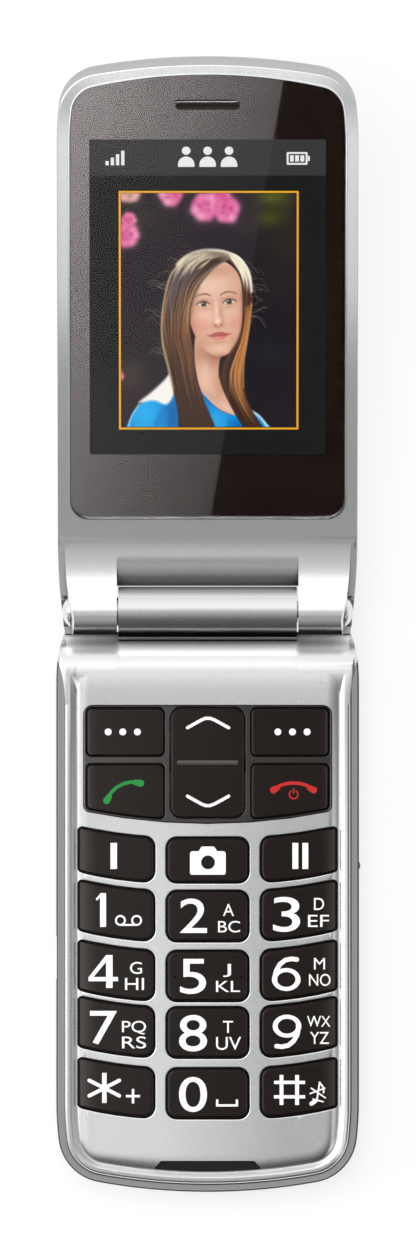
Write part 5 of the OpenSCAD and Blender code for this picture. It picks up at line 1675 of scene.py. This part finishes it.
for side in (-1, 1):
    head_haze(side * 11.6, 0.797, 1.1, 1.2, (176, 112, 94), 0.5)
    # eye: white, iris with a dark rim, pupil, catch light, lids, lashes and brow
    x0, v0 = side * eye_u, eye_v
    white = area(by_eye(side, [(-6.1, 0.004), (-3.2, -0.019), (0.4, -0.026), (3.8, -0.018), (6.2, -0.001),
                               (3.4, 0.016), (-0.5, 0.021), (-3.8, 0.016)]), 0.7)
    lay(white, (226, 216, 212))
    for r, tone in ((2.75, (58, 44, 34)), (2.2, (112, 86, 58)), (1.15, (16, 12, 12))):
        ex, ey = on_head(x0 + 0.2, v0 - 0.002)
        lay(white * np.clip(0.5 + (r - np.hypot(dot_x - ex, dot_y - ey)) / 0.8, 0, 1), tone)
    ex, ey = on_head(x0 - 0.7, v0 - 0.011)
    lay(np.clip(0.5 + (0.55 - np.hypot(dot_x - ex, dot_y - ey)) / 0.7, 0, 1), (255, 255, 255))
    line_of(by_eye(side, [(-6.0, 0.003), (-3.2, -0.019), (0.4, -0.027), (3.9, -0.019), (7.2, -0.006)]),
            1.05, (44, 28, 24), 0.9, 0.7)
    line_of(by_eye(side, [(-4.6, 0.014), (-0.4, 0.022), (3.6, 0.016), (6.4, 0.001)]), 0.35, (124, 84, 70),
            0.55, 0.7)
    line_of(by_eye(side, [(-5.0, -0.025), (0.2, -0.045), (6.2, -0.026)]), 0.45, (158, 106, 86), 0.55, 0.9)
    for share in np.linspace(0, 1, 16):
        u, v = -7.2 + 15.2 * share, -0.080 - 0.024 * math.sin(math.pi * share ** 0.8 * 0.9) + 0.012 * share
        line_of(by_eye(side, [(u - 0.8, v + 0.008), (u + 1.1, v - 0.004)]), 0.9 - 0.5 * share, (98, 68, 50),
                0.6, 0.8)
paint[:] = kept + (paint - kept) * np.maximum(face, 0.0)[..., None]

# hair in front: from the parting over the left temple and down, and the right side with its lock
part_left = [(104, 57), (82, 58.5), (62, 66), (50, 82), (44, 104), (41, 128), (42, 150), (47, 172),
             (52, 195), (57, 218), (61, 244)]
part_face = [(108, 66), (99, 71), (87, 81), (77, 94), (71, 109), (68, 125), (69, 142), (72, 158), (74, 176),
             (80, 200), (96, 244)]
right_out = [(104, 58), (118, 64), (127, 76), (131, 92), (131, 110), (129, 130), (126, 150), (123, 172),
             (123, 194), (131, 216), (148, 244)]
right_face = [(108, 66), (114, 73), (120, 86), (122, 100), (122.5, 115), (122, 130), (119, 145), (111, 158),
              (102, 174), (102, 196), (130, 244)]
left_hair = area(part_left + part_face[::-1], 1.2)
right_hair = area(right_out + right_face[::-1], 1.2)
for side, edge in ((left_hair, part_face), (right_hair, right_face)):
    shadow = np.clip(1 - away_from(flowing(edge[3:8])) / 4, 0, 1)
    lay(0.5 * shadow * face, (150, 92, 70))
    lay(side, (58, 40, 33))
slate_sheen = (92, 96, 108)
tresses(part_left, part_face, 150, [dark_hair, mid_hair, (104, 72, 54), dark_hair], (0.8, 2.2), (0.5, 0.9))
tresses(part_left, part_face, 80, [mid_hair, (116, 80, 58), (98, 68, 52)], (0.5, 1.4), (0.35, 0.75),
        ragged=0.4)
tresses(part_left[:7], part_face[:7], 80, [slate_sheen, (64, 62, 70), (40, 34, 38), (150, 146, 146)],
        (0.6, 1.6), (0.35, 0.75), ragged=0.6)
tresses(part_left, part_face, 22, [gold_hair, light_hair, light_hair], (0.4, 0.8), (0.3, 0.7), 1.6,
        ragged=0.5)
tresses(part_left, part_face, 9, [gold_hair, (176, 118, 76)], (0.5, 1.0), (0.35, 0.7), 0.8, (0.8, 1.0), 0.5)
tresses(right_out, right_face, 90, [dark_hair, mid_hair, (96, 58, 38)], (0.8, 2.0), (0.5, 0.9), 0.8)
tresses(right_out[4:], right_face[4:], 60, [(152, 88, 46), gold_hair, (196, 120, 62)], (0.5, 1.4),
        (0.35, 0.8), 0.8, (0.0, 0.7), 0.4)
# light from behind: a bright crown, and a rim down both sides
crown_light = np.clip(1 - away_from(flowing([(60, 68), (72, 61), (86, 58), (100, 59), (112, 65),
                                             (121, 73)])) / 9, 0, 1)
lay(0.55 * crown_light * np.maximum(left_hair, right_hair), (232, 214, 182))
tresses([(106, 57.5), (84, 58), (64, 65), (54, 78), (49, 92)],
        [(108, 64), (98, 68), (88, 76), (80, 86), (74, 96)], 70,
        [pale_hair, (240, 220, 184), (214, 196, 170)], (0.6, 1.6), (0.4, 0.9), 0.8, (0.0, 0.7), 0.75)
tresses([(106, 57.5), (118, 63), (127, 75), (131.5, 92), (131, 108)],
        [(109, 63), (114, 70), (120, 80), (123, 92), (124, 104)], 60,
        [pale_hair, (244, 226, 190), (255, 246, 224)], (0.8, 1.8), (0.5, 0.9), 0.6, ragged=0.7)
line_of([(56, 71), (66, 62.5), (80, 57.5), (96, 57), (110, 60.5), (122, 69), (129, 82), (131, 98)], 2.2,
        (255, 250, 232), 0.85, 2.4)
line_of(part_left[2:9], 1.6, (244, 222, 178), 0.75, 2.2)
line_of(right_out[4:9], 0.9, (248, 200, 130), 0.7, 1.6)
for i in range(44):
    left = chance.random() < 0.6
    guide = flowing(part_left[1:8] if left else right_out[1:6])
    x, y = guide[chance.integers(len(guide))]
    way = -1 if left else 1
    reach = chance.uniform(3, 13)
    rise = chance.uniform(-8, 6)
    line_of([(x, y), (x + way * reach * 0.5, y + rise * 0.2 - 1), (x + way * reach, y + rise),
             (x + way * reach * chance.uniform(1.25, 1.6), y + rise * 1.2 + chance.uniform(1, 6))],
            0.3, (214, 190, 150), chance.uniform(0.25, 0.7), 0.8)

picture_w, sheet_t = -1.37, 0.004
inner_x, inner_d = frame_x0 + frame_line, frame_d1 - frame_line
step_x = (frame_x1 - frame_x0 - 2 * frame_line) / dots_wide
step_d = (frame_d1 - frame_d0 - 2 * frame_line) / dots_high
high, wide = dot_x.shape
dots = [(inner_x + x * step_x, inner_d - y * step_d, picture_w)
        for x, y in zip(dot_x.ravel(), dot_y.ravel())]
cells = [(k * wide + i, (k + 1) * wide + i, (k + 1) * wide + i + 1, k * wide + i + 1)
         for k in range(high - 1) for i in range(wide - 1)]
rim = (list(range(wide)) + [k * wide + wide - 1 for k in range(1, high)]
       + [(high - 1) * wide + i for i in range(wide - 2, -1, -1)]
       + [k * wide for k in range(high - 2, 0, -1)])
below = [len(dots) + i for i in range(len(rim))]
cells += [(rim[i], rim[(i + 1) % len(rim)], below[(i + 1) % len(rim)], below[i])
          for i in range(len(rim))] + [tuple(below)]
picture = solid("picture", dots + [dots[i][:2] + (picture_w - sheet_t,) for i in rim], cells)
shades = np.where(paint <= 0.04045, paint / 12.92, ((paint + 0.055) / 1.055) ** 2.4).reshape(-1, 3)
colours = np.ones((len(dots) + len(rim), 4), np.float32)
colours[:len(dots), :3] = shades
colours[len(dots):, :3] = shades[rim]
picture.data.color_attributes.new("paint", "FLOAT_COLOR", "POINT").data.foreach_set("color", colours.ravel())
settle(raised(picture), "lid", lit("picture_light", "paint", 0.02))
